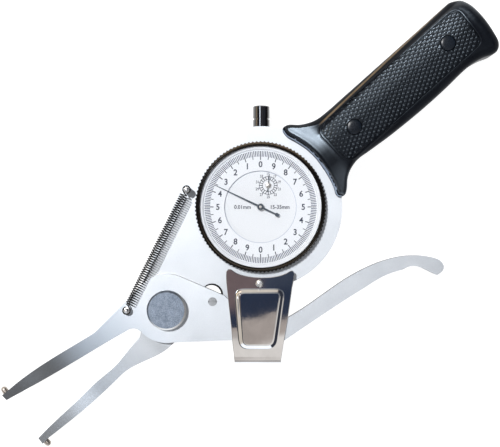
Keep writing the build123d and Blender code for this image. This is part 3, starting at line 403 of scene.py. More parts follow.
def bezel_material():
    k = Mat("bezel_black_anodised", 0.0, specular=0.11)
    fine = k.noise(2.4, 4, 0.6)
    black = k.ramp(fine, (0.003, 0.0026, 0.0023), (0.009, 0.0075, 0.0065), 0.3, 0.7)
    # painted highlight: the knurl's tips are painted brown at the top and, less, at the foot, where they catch the warm
    # light
    mp = k.nt.nodes.new("ShaderNodeMapping")
    x, y, _ = V(DIAL[0], DIAL[1], 0)
    mp.inputs["Location"].default_value = (-x, -y, 0)
    k.link(k.tc.outputs["Object"], mp.inputs["Vector"])
    sep = k.nt.nodes.new("ShaderNodeSeparateXYZ")
    k.link(mp.outputs[0], sep.inputs[0])
    r2 = k.math("ADD", k.math("MULTIPLY", sep.outputs[0], sep.outputs[0]), k.math("MULTIPLY", sep.outputs[1], sep.outputs[1]))
    rad = k.math("SQRT", r2)
    rim = k.math("MULTIPLY", k.span(rad, 0.0, 0.8, 0.02925, 0.02975), k.span(sep.outputs[1], 0.0, 1.0, 0.016, 0.028))
    foot = k.math("MULTIPLY", k.math("MULTIPLY", k.span(rad, 0.0, 0.30, 0.0288, 0.0291), k.span(rad, 1.0, 0.0, 0.0294, 0.0298)),
                  k.span(sep.outputs[1], 1.0, 0.0, -0.026, -0.004))
    brown = k.ramp(fine, (0.055, 0.042, 0.030), (0.21, 0.160, 0.105), 0.35, 0.65)
    k.color(k.mix(k.math("MAXIMUM", rim, foot), black, brown))
    k.rough(k.span(fine, 0.20, 0.28, 0.3, 0.7))
    k.bump(fine, 0.01, 0.35)
    return k.m


M_BEZEL = bezel_material()


def crystal_material():
    k = Mat("crystal_acrylic", 0.0, ior=1.45, alpha=0.05)
    fine = k.noise(0.5, 2, 0.5)
    k.color(k.ramp(fine, (0.30, 0.32, 0.34), (0.36, 0.38, 0.40), 0.3, 0.7))
    k.rough(k.span(fine, 0.03, 0.06, 0.3, 0.7))
    return k.m


M_CRYSTAL = crystal_material()

CAD_MATERIALS = {
    "frame_plate": M_FRAME, "arm_plate": M_ARM, "fixed_contact": M_PIN, "moving_contact": M_PIN,
    "handle_plugs": M_PLUG, "handle_screws": M_STEEL, "handle_nuts": M_STEEL, "pivot_stud": M_BLAST,
    "pivot_washer": M_STEEL, "pivot_nut": M_STEEL, "frame_spring_post": M_STEEL, "arm_spring_post": M_STEEL,
    "guard_screw": M_STEEL, "guard_spacer": M_STEEL, "indicator_case": M_CASE, "case_screws": M_STEEL,
    "back_cover": M_CASE, "stem_bush": M_CASE, "guide_bush": M_STEEL, "dust_cap": M_GLOSS,
    "movement_plate": M_BRASS, "rack_cock": M_BRASS, "cock_screws": M_STEEL, "bridge_plate": M_BRASS,
    "bridge_pillars": M_STEEL, "bridge_screws": M_STEEL, "hairspring": M_WIRE, "hairspring_stud": M_BRASS,
    "inner_dial": M_DIAL, "bezel_snap_ring": M_WIRE, "arm_bush": M_BRASS_BUSH, "stop_bush": M_STEEL,
    "stop_screw": M_SCREW, "anvil_block": M_STEEL, "anvil_screws": M_PIN, "spindle": M_STEEL,
    "contact_tip": M_PIN, "rack_pinion": M_STEEL, "rack_wheel": M_BRASS, "centre_arbor": M_STEEL,
    "main_pointer": M_HAND, "counter_arbor": M_STEEL, "counter_wheel": M_BRASS, "counter_hand": M_HAND,
    "crystal": M_CRYSTAL, "scale_ring": M_SCALE,
}
for name, ob in NODES.items():
    if name in CAD_MATERIALS:
        if not ob.material_slots:
            ob.data.materials.append(CAD_MATERIALS[name])
        for s in ob.material_slots:
            s.material = CAD_MATERIALS[name]

BEVELS = {"frame_plate": 0.20, "arm_plate": 0.20, "anvil_block": 0.3, "dust_cap": 0.15, "back_cover": 0.15,
          "pivot_nut": 0.25, "pivot_stud": 0.12, "main_pointer": 0.05, "guard_screw": 0.06, "stop_screw": 0.08,
          "anvil_screws": 0.08, "pivot_washer": 0.15, "indicator_case": 0.12}
for name, w in BEVELS.items():
    b = NODES[name].modifiers.new("edge_break", "BEVEL")
    b.width = w * 1e-3
    b.segments = 2
    b.limit_method = "ANGLE"
    b.angle_limit = math.radians(40)
    b.harden_normals = False


# ------------------------------------------------------------------ mesh helpers
def make(name, verts, faces, mat, body, nodes=(), smooth=32.0, metres=False):
    me = bpy.data.meshes.new(name)
    me.from_pydata(verts if metres else [V(*p) for p in verts], [], faces)
    me.validate()
    ob = bpy.data.objects.new(name, me)
    scene.collection.objects.link(ob)
    me.materials.append(mat)
    if smooth:
        me.shade_smooth()
        me.set_sharp_from_angle(angle=math.radians(smooth))
    else:
        me.shade_flat()
    me.update()
    if body:
        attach(ob, body)
    for n in nodes:
        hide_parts(n)
    return ob


def lathe(profile, at, n=96, wave=None):
    """Turned surface about the vertical through at; profile is (r, z, share of the knurl). A closed loop of
    points, or an open one that begins and ends on the axis."""
    verts, rows = [], []
    for p in profile:
        r, z = p[0], p[1]
        k = p[2] if len(p) > 2 else 0.0
        if r < 1e-6:
            rows.append([len(verts)])
            verts.append((at[0], at[1], z))
            continue
        row = []
        for i in range(n):
            a = 2 * math.pi * i / n
            rr = r - (wave(a) * k if wave and k else 0.0)
            row.append(len(verts))
            verts.append((at[0] + rr * math.cos(a), at[1] + rr * math.sin(a), z))
        rows.append(row)
    faces = []
    pairs = list(zip(rows[:-1], rows[1:]))
    if len(rows[0]) > 1 and len(rows[-1]) > 1:
        pairs.append((rows[-1], rows[0]))
    for a, b in pairs:
        for i in range(n):
            j = (i + 1) % n
            if len(a) == 1:
                faces.append((a[0], b[j], b[i]))
            elif len(b) == 1:
                faces.append((a[i], a[j], b[0]))
            else:
                faces.append((a[i], a[j], b[j], b[i]))
    return verts, faces


def catmull(points, step, closed=True):
    """Centripetal curve through the points, in even steps."""
    n = len(points)
    out = []
    for i in range(n if closed else n - 1):
        if closed:
            p = [np.array(points[(i + k) % n], float) for k in (-1, 0, 1, 2)]
        else:
            p = [np.array(points[min(max(i + k, 0), n - 1)], float) for k in (-1, 0, 1, 2)]
            if i == 0:
                p[0] = 2 * p[1] - p[2]
            if i == n - 2:
                p[3] = 2 * p[2] - p[1]
        t = [0.0]
        for k in range(3):
            t.append(t[-1] + max(np.linalg.norm(p[k + 1] - p[k]) ** 0.5, 1e-6))
        m = max(2, int(np.linalg.norm(p[2] - p[1]) / 0.1))
        for s in range(m):
            x = t[1] + (t[2] - t[1]) * s / m
            a = [p[k] * (t[k + 1] - x) / (t[k + 1] - t[k]) + p[k + 1] * (x - t[k]) / (t[k + 1] - t[k]) for k in range(3)]
            b = [a[k] * (t[k + 2] - x) / (t[k + 2] - t[k]) + a[k + 1] * (x - t[k]) / (t[k + 2] - t[k]) for k in range(2)]
            out.append(b[0] * (t[2] - x) / (t[2] - t[1]) + b[1] * (x - t[1]) / (t[2] - t[1]))
    if not closed:
        out.append(np.array(points[-1], float))
    out = np.array(out)
    loop = np.vstack([out, out[:1]]) if closed else out
    seg = np.linalg.norm(np.diff(loop, axis=0), axis=1)
    cum = np.concatenate([[0], np.cumsum(seg)])
    count = max(4, int(round(cum[-1] / step)))
    at = np.linspace(0, cum[-1], count + 1)
    if closed:
        at = at[:-1]
    return np.stack([np.interp(at, cum, loop[:, k]) for k in range(2)], axis=1)


def round_poly(points, r, step):
    """Polygon with its corners cut by short curves."""
    out = []
    n = len(points)
    for i in range(n):
        a, b, c = (np.array(points[(i + k) % n], float) for k in (-1, 0, 1))
        la, lc = np.linalg.norm(a - b), np.linalg.norm(c - b)
        ca, cc = min(r, la * 0.45), min(r, lc * 0.45)
        pa, pc = b + (a - b) / la * ca, b + (c - b) / lc * cc
        for s in range(7):
            t = s / 6
            out.append((1 - t) ** 2 * pa + 2 * t * (1 - t) * b + t * t * pc)
    out = np.array(out)
    loop = np.vstack([out, out[:1]])
    seg = np.linalg.norm(np.diff(loop, axis=0), axis=1)
    cum = np.concatenate([[0], np.cumsum(seg)])
    at = np.linspace(0, cum[-1], int(round(cum[-1] / step)) + 1)[:-1]
    return np.stack([np.interp(at, cum, loop[:, k]) for k in range(2)], axis=1)


def area2(p):
    q = np.roll(p, -1, axis=0)
    return float(np.sum(p[:, 0] * q[:, 1] - q[:, 0] * p[:, 1]))


def seg_dist(pts, a, b):
    """Distance from each point to the nearest of the segments a-b."""
    d = b - a
    l2 = np.maximum((d ** 2).sum(1), 1e-12)
    best = np.full(len(pts), 1e9)
    for i in range(0, len(pts), 2000):
        p = pts[i:i + 2000]
        t = np.clip(((p[:, None] - a[None]) * d[None]).sum(2) / l2[None], 0, 1)
        c = a[None] + t[..., None] * d[None]
        best[i:i + 2000] = np.sqrt(((p[:, None] - c) ** 2).sum(2)).min(1)
    return best


def inside(pts, poly):
    x, y = pts[:, 0], pts[:, 1]
    c = np.zeros(len(pts), bool)
    q = np.roll(poly, -1, axis=0)
    for (x0, y0), (x1, y1) in zip(poly, q):
        hit = ((y0 > y) != (y1 > y)) & (x < (x1 - x0) * (y - y0) / (y1 - y0 + 1e-30) + x0)
        c ^= hit
    return c


def offset_ring(loop, d):
    """Points of the loop moved inwards by d; the loop runs anticlockwise."""
    e = np.roll(loop, -1, axis=0) - np.roll(loop, 1, axis=0)
    e /= np.linalg.norm(e, axis=1)[:, None]
    return loop + np.stack([-e[:, 1], e[:, 0]], axis=1) * d


# ------------------------------------------------------------------ handle
def clip_line(p, u, poly):
    """Stretches of the line p + t u that lie inside the polygon."""
    q = np.roll(poly, -1, axis=0)
    nx, ny = -u[1], u[0]
    s0 = (poly[:, 0] - p[0]) * nx + (poly[:, 1] - p[1]) * ny
    s1 = (q[:, 0] - p[0]) * nx + (q[:, 1] - p[1]) * ny
    ts = []
    for k in np.nonzero((s0 > 0) != (s1 > 0))[0]:
        w = s0[k] / (s0[k] - s1[k])
        c = poly[k] + (q[k] - poly[k]) * w
        ts.append((c[0] - p[0]) * u[0] + (c[1] - p[1]) * u[1])
    ts.sort()
    return list(zip(ts[0::2], ts[1::2]))


LOOP = catmull(HANDLE, 0.7)
if area2(LOOP) < 0:
    LOOP = LOOP[::-1]
NEXT = np.roll(LOOP, -1, axis=0)
FAR = np.hypot(LOOP[:, 0] - DISC[0], LOOP[:, 1] - DISC[1])
DISC_SIDE = FAR < 37.3
PANEL_LOOP = round_poly(PANEL, 2.4, 0.6)
if area2(PANEL_LOOP) < 0:
    PANEL_LOOP = PANEL_LOOP[::-1]
LAT = [math.radians(12.3), math.radians(72.3)]
APEX0 = (60.04, 67.10)
GAP_A, GAP_B = 1.82, 1.87            # spacing of the valleys of each family
PYRAMID, SUNK = 0.44, 0.40


def lattice_heights(pts):
    """1 at each apex, 0 in the valleys, with the pyramids worn round."""
    best = np.ones(len(pts))
    for ang, gap in zip(LAT, (GAP_A, GAP_B)):
        n = (-math.sin(ang), math.cos(ang))
        s = ((pts[:, 0] - APEX0[0]) * n[0] + (pts[:, 1] - APEX0[1]) * n[1]) / gap
        # 1 at each apex, 0 in the valleys, with the pyramids rounded off.
        best *= np.cos(math.pi * (s - np.round(s)))
    return best ** 0.9


def handle_mesh(z_split, z_face):
    sgn = 1.0 if z_face > z_split else -1.0
    tall = abs(z_face - z_split)
    pts = [LOOP]
    edges = [(i, (i + 1) % len(LOOP)) for i in range(len(LOOP))]
    total = len(LOOP)
    seg_a, seg_b = LOOP, NEXT
    for d in (0.07, 0.2, 0.38, 0.7, 1.15, 1.3, 1.45, 1.7, 2.0, 2.4, 2.9, 3.5):
        ring = offset_ring(LOOP, d)
        real = seg_dist(ring, seg_a, seg_b)
        ring = ring[(np.abs(real - d) < 0.02) & inside(ring, LOOP)]
        pts.append(ring)
        total += len(ring)
    # panel rim
    for e in (-0.62, -0.42, -0.22, -0.05, 0.10, 0.24):
        ring = offset_ring(PANEL_LOOP, e)
        pts.append(ring)
        total += len(ring)
    floor_ring = offset_ring(PANEL_LOOP, 0.42)
    pts.append(floor_ring)
    edges += [(total + i, total + (i + 1) % len(floor_ring)) for i in range(len(floor_ring))]
    total += len(floor_ring)
    # checkering: valleys as lines, apexes as points
    for ang, gap in zip(LAT, (GAP_A, GAP_B)):
        u = (math.cos(ang), math.sin(ang))
        n = (-u[1], u[0])
        for k in range(-60, 60):
            p = (APEX0[0] + n[0] * gap * (k + 0.5), APEX0[1] + n[1] * gap * (k + 0.5))
            for t0, t1 in clip_line(p, u, floor_ring):
                if t1 - t0 < 0.4:
                    continue
                pts.append(np.array([[p[0] + u[0] * (t0 + 1e-4), p[1] + u[1] * (t0 + 1e-4)],
                                     [p[0] + u[0] * (t1 - 1e-4), p[1] + u[1] * (t1 - 1e-4)]]))
                edges.append((total, total + 1))
                total += 2
    na = np.array([-math.sin(LAT[0]), math.cos(LAT[0])])
    nb = np.array([-math.sin(LAT[1]), math.cos(LAT[1])])
    inv = np.linalg.inv(np.stack([na / GAP_A, nb / GAP_B]))
    spots = [(0, 0)] + [(a, b) for a in (-0.2, 0, 0.2) for b in (-0.2, 0, 0.2) if a or b]
    spots += [(a, b) for a in (-0.38, -0.2, 0, 0.2, 0.38) for b in (-0.38, -0.2, 0, 0.2, 0.38) if max(abs(a), abs(b)) > 0.3]
    apex = np.array([np.array(APEX0) + inv @ np.array([i + a, j + b]) for i in range(-70, 70) for j in range(-70, 70)
                     for a, b in spots])
    apex = apex[inside(apex, offset_ring(PANEL_LOOP, 0.55))]
    keep = np.ones(len(apex), bool)
    for p in PLUGS:
        keep &= np.hypot(apex[:, 0] - p[0], apex[:, 1] - p[1]) > 3.95
    apex = apex[keep]
    pts.append(apex)
    total += len(apex)
    for p in PLUGS:
        for r in (3.58, 3.74):
            ring = np.array([[p[0] + r * math.cos(a), p[1] + r * math.sin(a)]
                             for a in np.linspace(0, 2 * math.pi, 49)[:-1]])
            pts.append(ring)
            edges += [(total + i, total + (i + 1) % 48) for i in range(48)]
            total += 48
    # plain ground between the rim and the panel
    gx, gy = np.meshgrid(np.arange(14, 119, 1.3), np.arange(11, 106, 1.3))
    g = np.stack([gx.ravel(), gy.ravel()], axis=1)
    g[::2, 0] += 0.2
    g = g[inside(g, LOOP)]
    g = g[(seg_dist(g, seg_a, seg_b) > 3.9)]
    g = g[~inside(g, offset_ring(PANEL_LOOP, -1.0))]
    pts.append(g)
    allp = np.vstack(pts)
    v, _, f, _, _, _ = delaunay_2d_cdt([(float(x), float(y)) for x, y in allp], edges, [], 1, 1e-6)
    P = np.array([(q.x, q.y) for q in v])
    tri = [tuple(t) for t in f]

    # heights, measured from the split towards the face
    s = -(P[:, 0] - AXIS_AT[0]) * AXIS_DIR[1] + (P[:, 1] - AXIS_AT[1]) * AXIS_DIR[0]
    far = np.hypot(P[:, 0] - DISC[0], P[:, 1] - DISC[1])
    near_disc = np.clip((52 - far) / 10, 0, 1)
    near_disc = near_disc * near_disc * (3 - 2 * near_disc)
    bend = 0.0078 - 0.0014 * near_disc
    reach = 15.0 - 2.0 * near_disc
    off = np.abs(s + 8.5 * near_disc)
    a = np.minimum(off, reach)
    crown = tall - 0.05 - bend * (a * a + 2 * reach * (off - a)) - 0.0027 * np.clip(56 - far, 0, 17) ** 2
    outer = ~DISC_SIDE
    d_out = seg_dist(P, seg_a[outer], seg_b[outer])
    d_disc = seg_dist(P, seg_a[DISC_SIDE], seg_b[DISC_SIDE])
    grow = np.clip((far - 42) / 12, 0, 1)
    z_out = crown + (1.3 + 1.9 * grow) / 3.2 * np.interp(
        d_out * 3.5 / (1.6 + 1.9 * grow), [0, 0.07, 0.2, 0.38, 0.7, 1.15, 1.7, 2.4, 2.9, 3.3, 3.6],
        [-3.50, -2.95, -2.60, -2.25, -1.85, -1.45, -1.05, -0.60, -0.28, -0.06, 0.0])
    lip = 4.1
    q = np.clip(1 - d_disc / 0.35, 0, 1)
    z_lip = lip - 0.20 * (1 - np.sqrt(1 - q ** 2)) + 0.05 * np.clip(d_disc / 1.15, 0, 1) - 0.6 * (d_disc > 0.78)
    w = np.clip((d_disc - 1.15) / 0.15, 0, 1)
    q2 = np.clip(1 - (d_disc - 1.3) / 1.3, 0, 1)
    z_top = crown - 1.3 * (1 - np.sqrt(np.clip(1 - q2 ** 2, 0, 1)))
    z_disc = np.where(d_disc < 1.15, z_lip, np.where(d_disc < 1.3, lip + 0.16 + (crown - 1.3 - lip - 0.16) * w, z_top))
    h = np.minimum(z_out, z_disc)
    e = seg_dist(P, PANEL_LOOP, np.roll(PANEL_LOOP, -1, axis=0))
    e = np.where(inside(P, PANEL_LOOP), e, -e)
    rim = np.interp(e, [-0.62, -0.42, -0.22, -0.05, 0.10, 0.24, 0.40], [0.0, 0.10, 0.15, 0.125, 0.09, 0.045, -SUNK])
    lat = lattice_heights(P)
    cells = -SUNK + PYRAMID * np.clip(lat, 0, 1) * np.clip((e - 0.42) / 0.5, 0, 1)
    near = np.full(len(P), 9.0)
    for p in PLUGS:
        near = np.minimum(near, np.hypot(P[:, 0] - p[0], P[:, 1] - p[1]))
    cells = np.where(near < 3.76, -SUNK * 0.6, cells)
    cells = np.where(near < 3.60, -2.4, cells)
    h = h + np.where(e < -0.62, 0.0, np.where(e > 0.405, cells, rim))
    verts = [(float(x), float(y), z_split + sgn * float(k)) for (x, y), k in zip(P, h)]
    faces = [t if sgn > 0 else t[::-1] for t in tri]
    # boundary edges of the cap: wall down to the split, and the split face
    seen = {}
    for a, b, c in tri:
        for i, j in ((a, b), (b, c), (c, a)):
            seen[(i, j)] = True
    rim_edges = [(i, j) for (i, j) in seen if (j, i) not in seen]
    base = {}
    for i, j in rim_edges:
        for k in (i, j):
            if k not in base:
                base[k] = len(verts)
                verts.append((P[k][0], P[k][1], z_split))
    nxt = dict(rim_edges)
    for i, j in rim_edges:
        quad = (i, base[i], base[j], j)
        faces.append(quad if sgn > 0 else quad[::-1])
    start = rim_edges[0][0]
    order, k = [start], nxt[start]
    while k != start:
        order.append(k)
        k = nxt[k]
    loop2 = [(float(P[k][0]), float(P[k][1])) for k in order]
    bv, _, bf, _, _, _ = delaunay_2d_cdt(loop2, [(i, (i + 1) % len(loop2)) for i in range(len(loop2))], [], 1, 1e-7)
    if len(bv) == len(loop2):
        for a, b, c in bf:
            face = (base[order[a]], base[order[c]], base[order[b]])
            faces.append(face if sgn > 0 else face[::-1])
    return verts, faces


verts, faces = handle_mesh(11.5, 22.0)
make("handle_front", verts, faces, M_GRIP, "frame", ("handle_front_shell",), 28)
verts, faces = handle_mesh(11.45, 0.0)
make("handle_rear", verts, faces, M_GRIP, "frame", ("handle_rear_shell",), 28)

# plugs that cover the handle's screws
verts, faces = [], []
for at in PLUGS:
    for prof in ([(0, 20.2), (3.46, 20.2), (3.46, 21.75), (3.40, 21.95), (3.25, 22.10), (3.0, 22.2), (1.8, 22.3), (0, 22.34)],
                 [(0, 1.9), (3.46, 1.9), (3.46, 0.5), (3.40, 0.34), (3.25, 0.22), (2.9, 0.15), (1.5, 0.1), (0, 0.1)]):
        v, f = lathe(prof, at, 64)
        if prof[0][1] < 10:
            f = [q[::-1] for q in f]
        faces += [tuple(i + len(verts) for i in q) for q in f]
        verts += v
make("handle_plug_caps", verts, faces, M_PLUG, "frame", ("handle_plugs",), 30)

# ------------------------------------------------------------------ bezel with its knurl
TEETH = 104


def knurl(a):
    t = (a * TEETH / (2 * math.pi)) % 1.0
    return 0.52 * (0.5 - 0.5 * math.cos(2 * math.pi * t)) ** 0.8


BEZEL = [(28.32, 18.33), (28.32, 18.42), (28.42, 18.50), (28.62, 18.54), (28.86, 18.50), (29.05, 18.40),
         (29.30, 18.20), (29.42, 18.08), (29.53, 18.00), (29.66, 17.98), (29.78, 18.08),
         (29.92, 18.20, 0.05), (30.20, 18.24, 0.3), (30.52, 18.16, 0.7), (30.74, 17.90, 1.0), (30.74, 14.55, 1.0),
         (30.60, 14.25, 0.8), (30.30, 14.02, 0.3), (29.8, 13.95), (27.46, 13.95), (27.46, 15.92), (28.92, 15.92),
         (28.92, 18.33)]
verts, faces = lathe(BEZEL, DIAL, TEETH * 8, knurl)
make("bezel_knurled", verts, faces, M_BEZEL, "bezel", ("bezel_ring",), 42)
verts, faces = lathe([(26.66, 16.36), (26.90, 16.78), (27.04, 17.02), (27.26, 17.14), (28.86, 17.30), (28.86, 16.36)],
                     DIAL, 240)
make("scale_edge", verts, faces, M_SCALE, "bezel", (), 20)


# ------------------------------------------------------------------ printing on the dial
def text_shape(string, height, narrow=0.86, bold=0.0):
    """Triangles of a line of plain lettering, centred on its own box."""
    cu = bpy.data.curves.new("line_of_print", "FONT")
    cu.body = string
    cu.size = height / 0.729
    cu.resolution_u = 5
    cu.offset = bold
    ob = bpy.data.objects.new("line_of_print", cu)
    scene.collection.objects.link(ob)
    bpy.context.view_layer.update()
    me = bpy.data.meshes.new_from_object(ob.evaluated_get(bpy.context.evaluated_depsgraph_get()))
    co = np.array([(v.co.x * narrow, v.co.y) for v in me.vertices])
    fa = [tuple(p.vertices) for p in me.polygons]
    bpy.data.objects.remove(ob)
    bpy.data.curves.remove(cu)
    bpy.data.meshes.remove(me)
    co -= (co.min(0) + co.max(0)) / 2
    return co, fa


class Print:
    """Flat marks gathered into one mesh, each lifted a little above the given height."""

    def __init__(self, z, thick=0.02):
        self.v, self.f, self.z, self.t = [], [], z, thick

    def poly(self, pts):
        n = len(self.v)
        m = len(pts)
        self.v += [(x, y, self.z + self.t) for x, y in pts]
        self.f.append(tuple(range(n, n + m)))

    def tick(self, c, a_deg, r0, r1, w):
        a = math.radians(a_deg)
        ux, uy = math.cos(a), math.sin(a)
        vx, vy = -uy * w / 2, ux * w / 2
        self.poly([(c[0] + ux * r0 - vx, c[1] + uy * r0 - vy), (c[0] + ux * r1 - vx, c[1] + uy * r1 - vy),
                   (c[0] + ux * r1 + vx, c[1] + uy * r1 + vy), (c[0] + ux * r0 + vx, c[1] + uy * r0 + vy)])

    def ring(self, c, r, w, n=120):
        for i in range(n):
            a, b = 2 * math.pi * i / n, 2 * math.pi * (i + 1) / n
            self.poly([(c[0] + (r - w / 2) * math.cos(a), c[1] + (r - w / 2) * math.sin(a)),
                       (c[0] + (r + w / 2) * math.cos(a), c[1] + (r + w / 2) * math.sin(a)),
                       (c[0] + (r + w / 2) * math.cos(b), c[1] + (r + w / 2) * math.sin(b)),
                       (c[0] + (r - w / 2) * math.cos(b), c[1] + (r - w / 2) * math.sin(b))])

    def text(self, string, at, height, turn=0.0, narrow=0.86, bold=0.0):
        co, fa = text_shape(string, height, narrow, bold)
        c, s = math.cos(turn), math.sin(turn)
        n = len(self.v)
        self.v += [(at[0] + x * c - y * s, at[1] + x * s + y * c, self.z + self.t) for x, y in co]
        self.f += [tuple(i + n for i in f) for f in fa]


fine, dark = Print(16.35), Print(16.35)
for i in range(200):
    a = 90 + i * 1.8
    if i % 5 == 0:
        dark.tick(DIAL, a, 22.0 if i % 10 == 0 else 22.3, 26.2, 0.42 if i % 10 == 0 else 0.34)
    else:
        fine.tick(DIAL, a, 23.6, 26.3, 0.36)
for i in range(20):
    a = math.radians(90 + i * 18)
    r = 20.0
    dark.text(str(i % 10), (DIAL[0] + r * math.cos(a), DIAL[1] + r * math.sin(a)), 2.82, 0.0, 0.95, 0.10)
make("scale_divisions", fine.v, fine.f, M_INK_FINE, "bezel", (), 0)
make("scale_numerals", dark.v, dark.f, M_INK, "bezel", (), 0)

inner = Print(15.40)
inner.ring(COUNTER, 2.75, 0.20)
inner.ring(COUNTER, 4.20, 0.24)
for i in range(20):
    inner.tick(COUNTER, 90 - i * 18, 2.75, 4.20, 0.34)
for i in range(10):
    a = math.radians(90 - 36 * i)
    inner.tick(COUNTER, 90 - 36 * i, 4.2, 4.55, 0.2)
    inner.text(str(15 + 2 * i), (COUNTER[0] + 5.45 * math.cos(a), COUNTER[1] + 5.35 * math.sin(a)), 1.30, 0.0, 0.88, 0.035)
inner.text("0.01mm", (-3.55, 7.75), 1.85, 0.0, 0.95, 0.055)
inner.text("15-35mm", (14.15, 7.75), 1.85, 0.0, 0.95, 0.055)
make("dial_print", inner.v, inner.f, M_INK, "frame", (), 0)
pale = Print(15.40)
pale.ring(DIAL, 16.75, 0.20, 180)
make("dial_circle", pale.v, pale.f, M_INK_PALE, "frame", (), 0)

# pointer hubs: a nickel boss pressed on each arbor
v, f = lathe([(0, 17.0), (1.62, 17.0), (1.62, 17.17), (1.52, 17.29), (1.15, 17.33), (1.05, 17.25), (0.72, 17.27),
              (0.66, 17.52), (0.55, 17.60), (0, 17.62)], DIAL, 48)
make("pointer_boss", v, f, M_HUB, "centre_shaft", (), 30)
v, f = lathe([(0, 15.8), (1.34, 15.8), (1.34, 15.94), (1.24, 16.05), (0.9, 16.10), (0.8, 16.04), (0.55, 16.06),
              (0.5, 16.14), (0.4, 16.18), (0, 16.2)], COUNTER, 40)
make("counter_boss", v, f, M_HUB, "counter_shaft", (), 30)

# ------------------------------------------------------------------ extension spring
Z_SPRING = 20.4
A = np.array([POST_FRAME[0], POST_FRAME[1], Z_SPRING])
B = np.array([POST_ARM[0], POST_ARM[1], Z_SPRING])
SPAN = float(np.linalg.norm(B - A))
AX = (B - A) / SPAN
SIDE = np.array([-AX[1], AX[0], 0.0])
UP = np.array([0.0, 0.0, 1.0])
WIRE_R, MEAN_R, TURNS, LOOP_R = 0.265, 1.835, 52, 1.72
C0, C1 = 2.3, SPAN - 2.5
path = []
for i in range(27):                                   # hook round the frame's post
    a = math.radians(28 + (332 - 28) * i / 26)
    path.append((LOOP_R * math.cos(a), LOOP_R * math.sin(a), 0.0))
path += [(1.9, -0.35, 0.1)]
per = 20
for i in range(TURNS * per + 1):
    t = i / (TURNS * per)
    grow = min(1.0, 0.0 + i / (0.4 * per), (TURNS * per - i) / (0.4 * per))
    ang = 2 * math.pi * TURNS * t
    r = MEAN_R * max(grow, 0.02)
    path.append((C0 + (C1 - C0) * t + (0.0 if grow >= 1 else (-0.3 if t < 0.5 else 0.3) * (1 - grow)),
                 r * math.sin(ang), r * math.cos(ang)))
path += [(SPAN - 1.9, 0.35, 0.1)]
for i in range(27):                                   # hook round the arm's post
    a = math.radians(180 - 28 - (332 - 28) * i / 26)
    path.append((SPAN + LOOP_R * math.cos(a), LOOP_R * math.sin(a), 0.0))
path = np.array(path)
world = A[None] + path[:, :1] * AX + path[:, 1:2] * SIDE + path[:, 2:3] * UP
tan = np.gradient(world, axis=0)
tan /= np.linalg.norm(tan, axis=1)[:, None]
verts, faces = [], []
nrm = None
K = 8
for p, t in zip(world, tan):
    if nrm is None:
        nrm = np.cross(t, UP)
    nrm = nrm - t * np.dot(nrm, t)
    nrm /= np.linalg.norm(nrm)
    bi = np.cross(t, nrm)
    for k in range(K):
        a = 2 * math.pi * k / K
        q = p + WIRE_R * (math.cos(a) * nrm + math.sin(a) * bi)
        verts.append(tuple(q))
n = len(world)
for i in range(n - 1):
    for k in range(K):
        j = (k + 1) % K
        faces.append((i * K + k, i * K + j, (i + 1) * K + j, (i + 1) * K + k))
faces.append(tuple(range(K))[::-1])
faces.append(tuple((n - 1) * K + k for k in range(K)))
spring = make("extension_spring_coil", verts, faces, M_WIRE, None, (), 60)
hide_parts("extension_spring")
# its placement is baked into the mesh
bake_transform(spring)

# spring posts with the neck that the hooks sit in
for name, node, at, foot, seat, body in (("frame_post_turned", "frame_spring_post", POST_FRAME, 10.5, 13.5, "frame"),
                                         ("arm_post_turned", "arm_spring_post", POST_ARM, 14.0, 17.6, "arm")):
    v, f = lathe([(0, foot), (1.2, foot), (1.2, seat), (1.75, seat), (1.75, 19.7), (1.65, 19.85), (1.0, 19.95),
                  (0.95, 20.9), (1.02, 21.3), (1.12, 21.7), (1.08, 22.05), (0.85, 22.35), (0.5, 22.53), (0, 22.6)],
                 at, 40)
    make(name, v, f, M_STEEL, body, (node,), 32)

# dark ring in the bottom of the stop hole, below the reach of the stop bush: a dark piece put in to stand for the
# shadow seen through the hole
hole = (-17.90, -33.49)
verts, faces = [], []
N = 72
for z in (9.10, 9.50):
    for r, c in ((6.30, hole), (4.55, (hole[0] - 0.38, hole[1] - 0.30))):
        verts += [(c[0] + r * math.cos(2 * math.pi * i / N), c[1] + r * math.sin(2 * math.pi * i / N), z) for i in range(N)]
for i in range(N):
    j = (i + 1) % N
    lo, li, ho, hi = i, N + i, 2 * N + i, 3 * N + i
    lo2, li2, ho2, hi2 = j, N + j, 2 * N + j, 3 * N + j
    faces += [(ho, ho2, hi2, hi), (lo, li, li2, lo2), (lo, lo2, ho2, ho), (li, hi, hi2, li2)]
make("stop_hole_painted_shadow_ring", verts, faces, M_WIRE, "frame", (), 30)

# ------------------------------------------------------------------ guard: one bent and embossed sheet
ZG1, THICK = 18.35, 0.5
Y_BOT, R_BEND, Z_LIP, RETURN = -65.20, 1.0, 1.6, 9.0


def along(points, key, value):
    """Linear reading of a polyline, x at a given y (key 1) or y at a given x (key 0)."""
    pts = sorted(points, key=lambda p: p[key])
    return float(np.interp(value, [p[key] for p in pts], [p[1 - key] for p in pts]))


TOP = catmull(GUARD, 0.25, closed=False)
y_end = Y_BOT + R_BEND


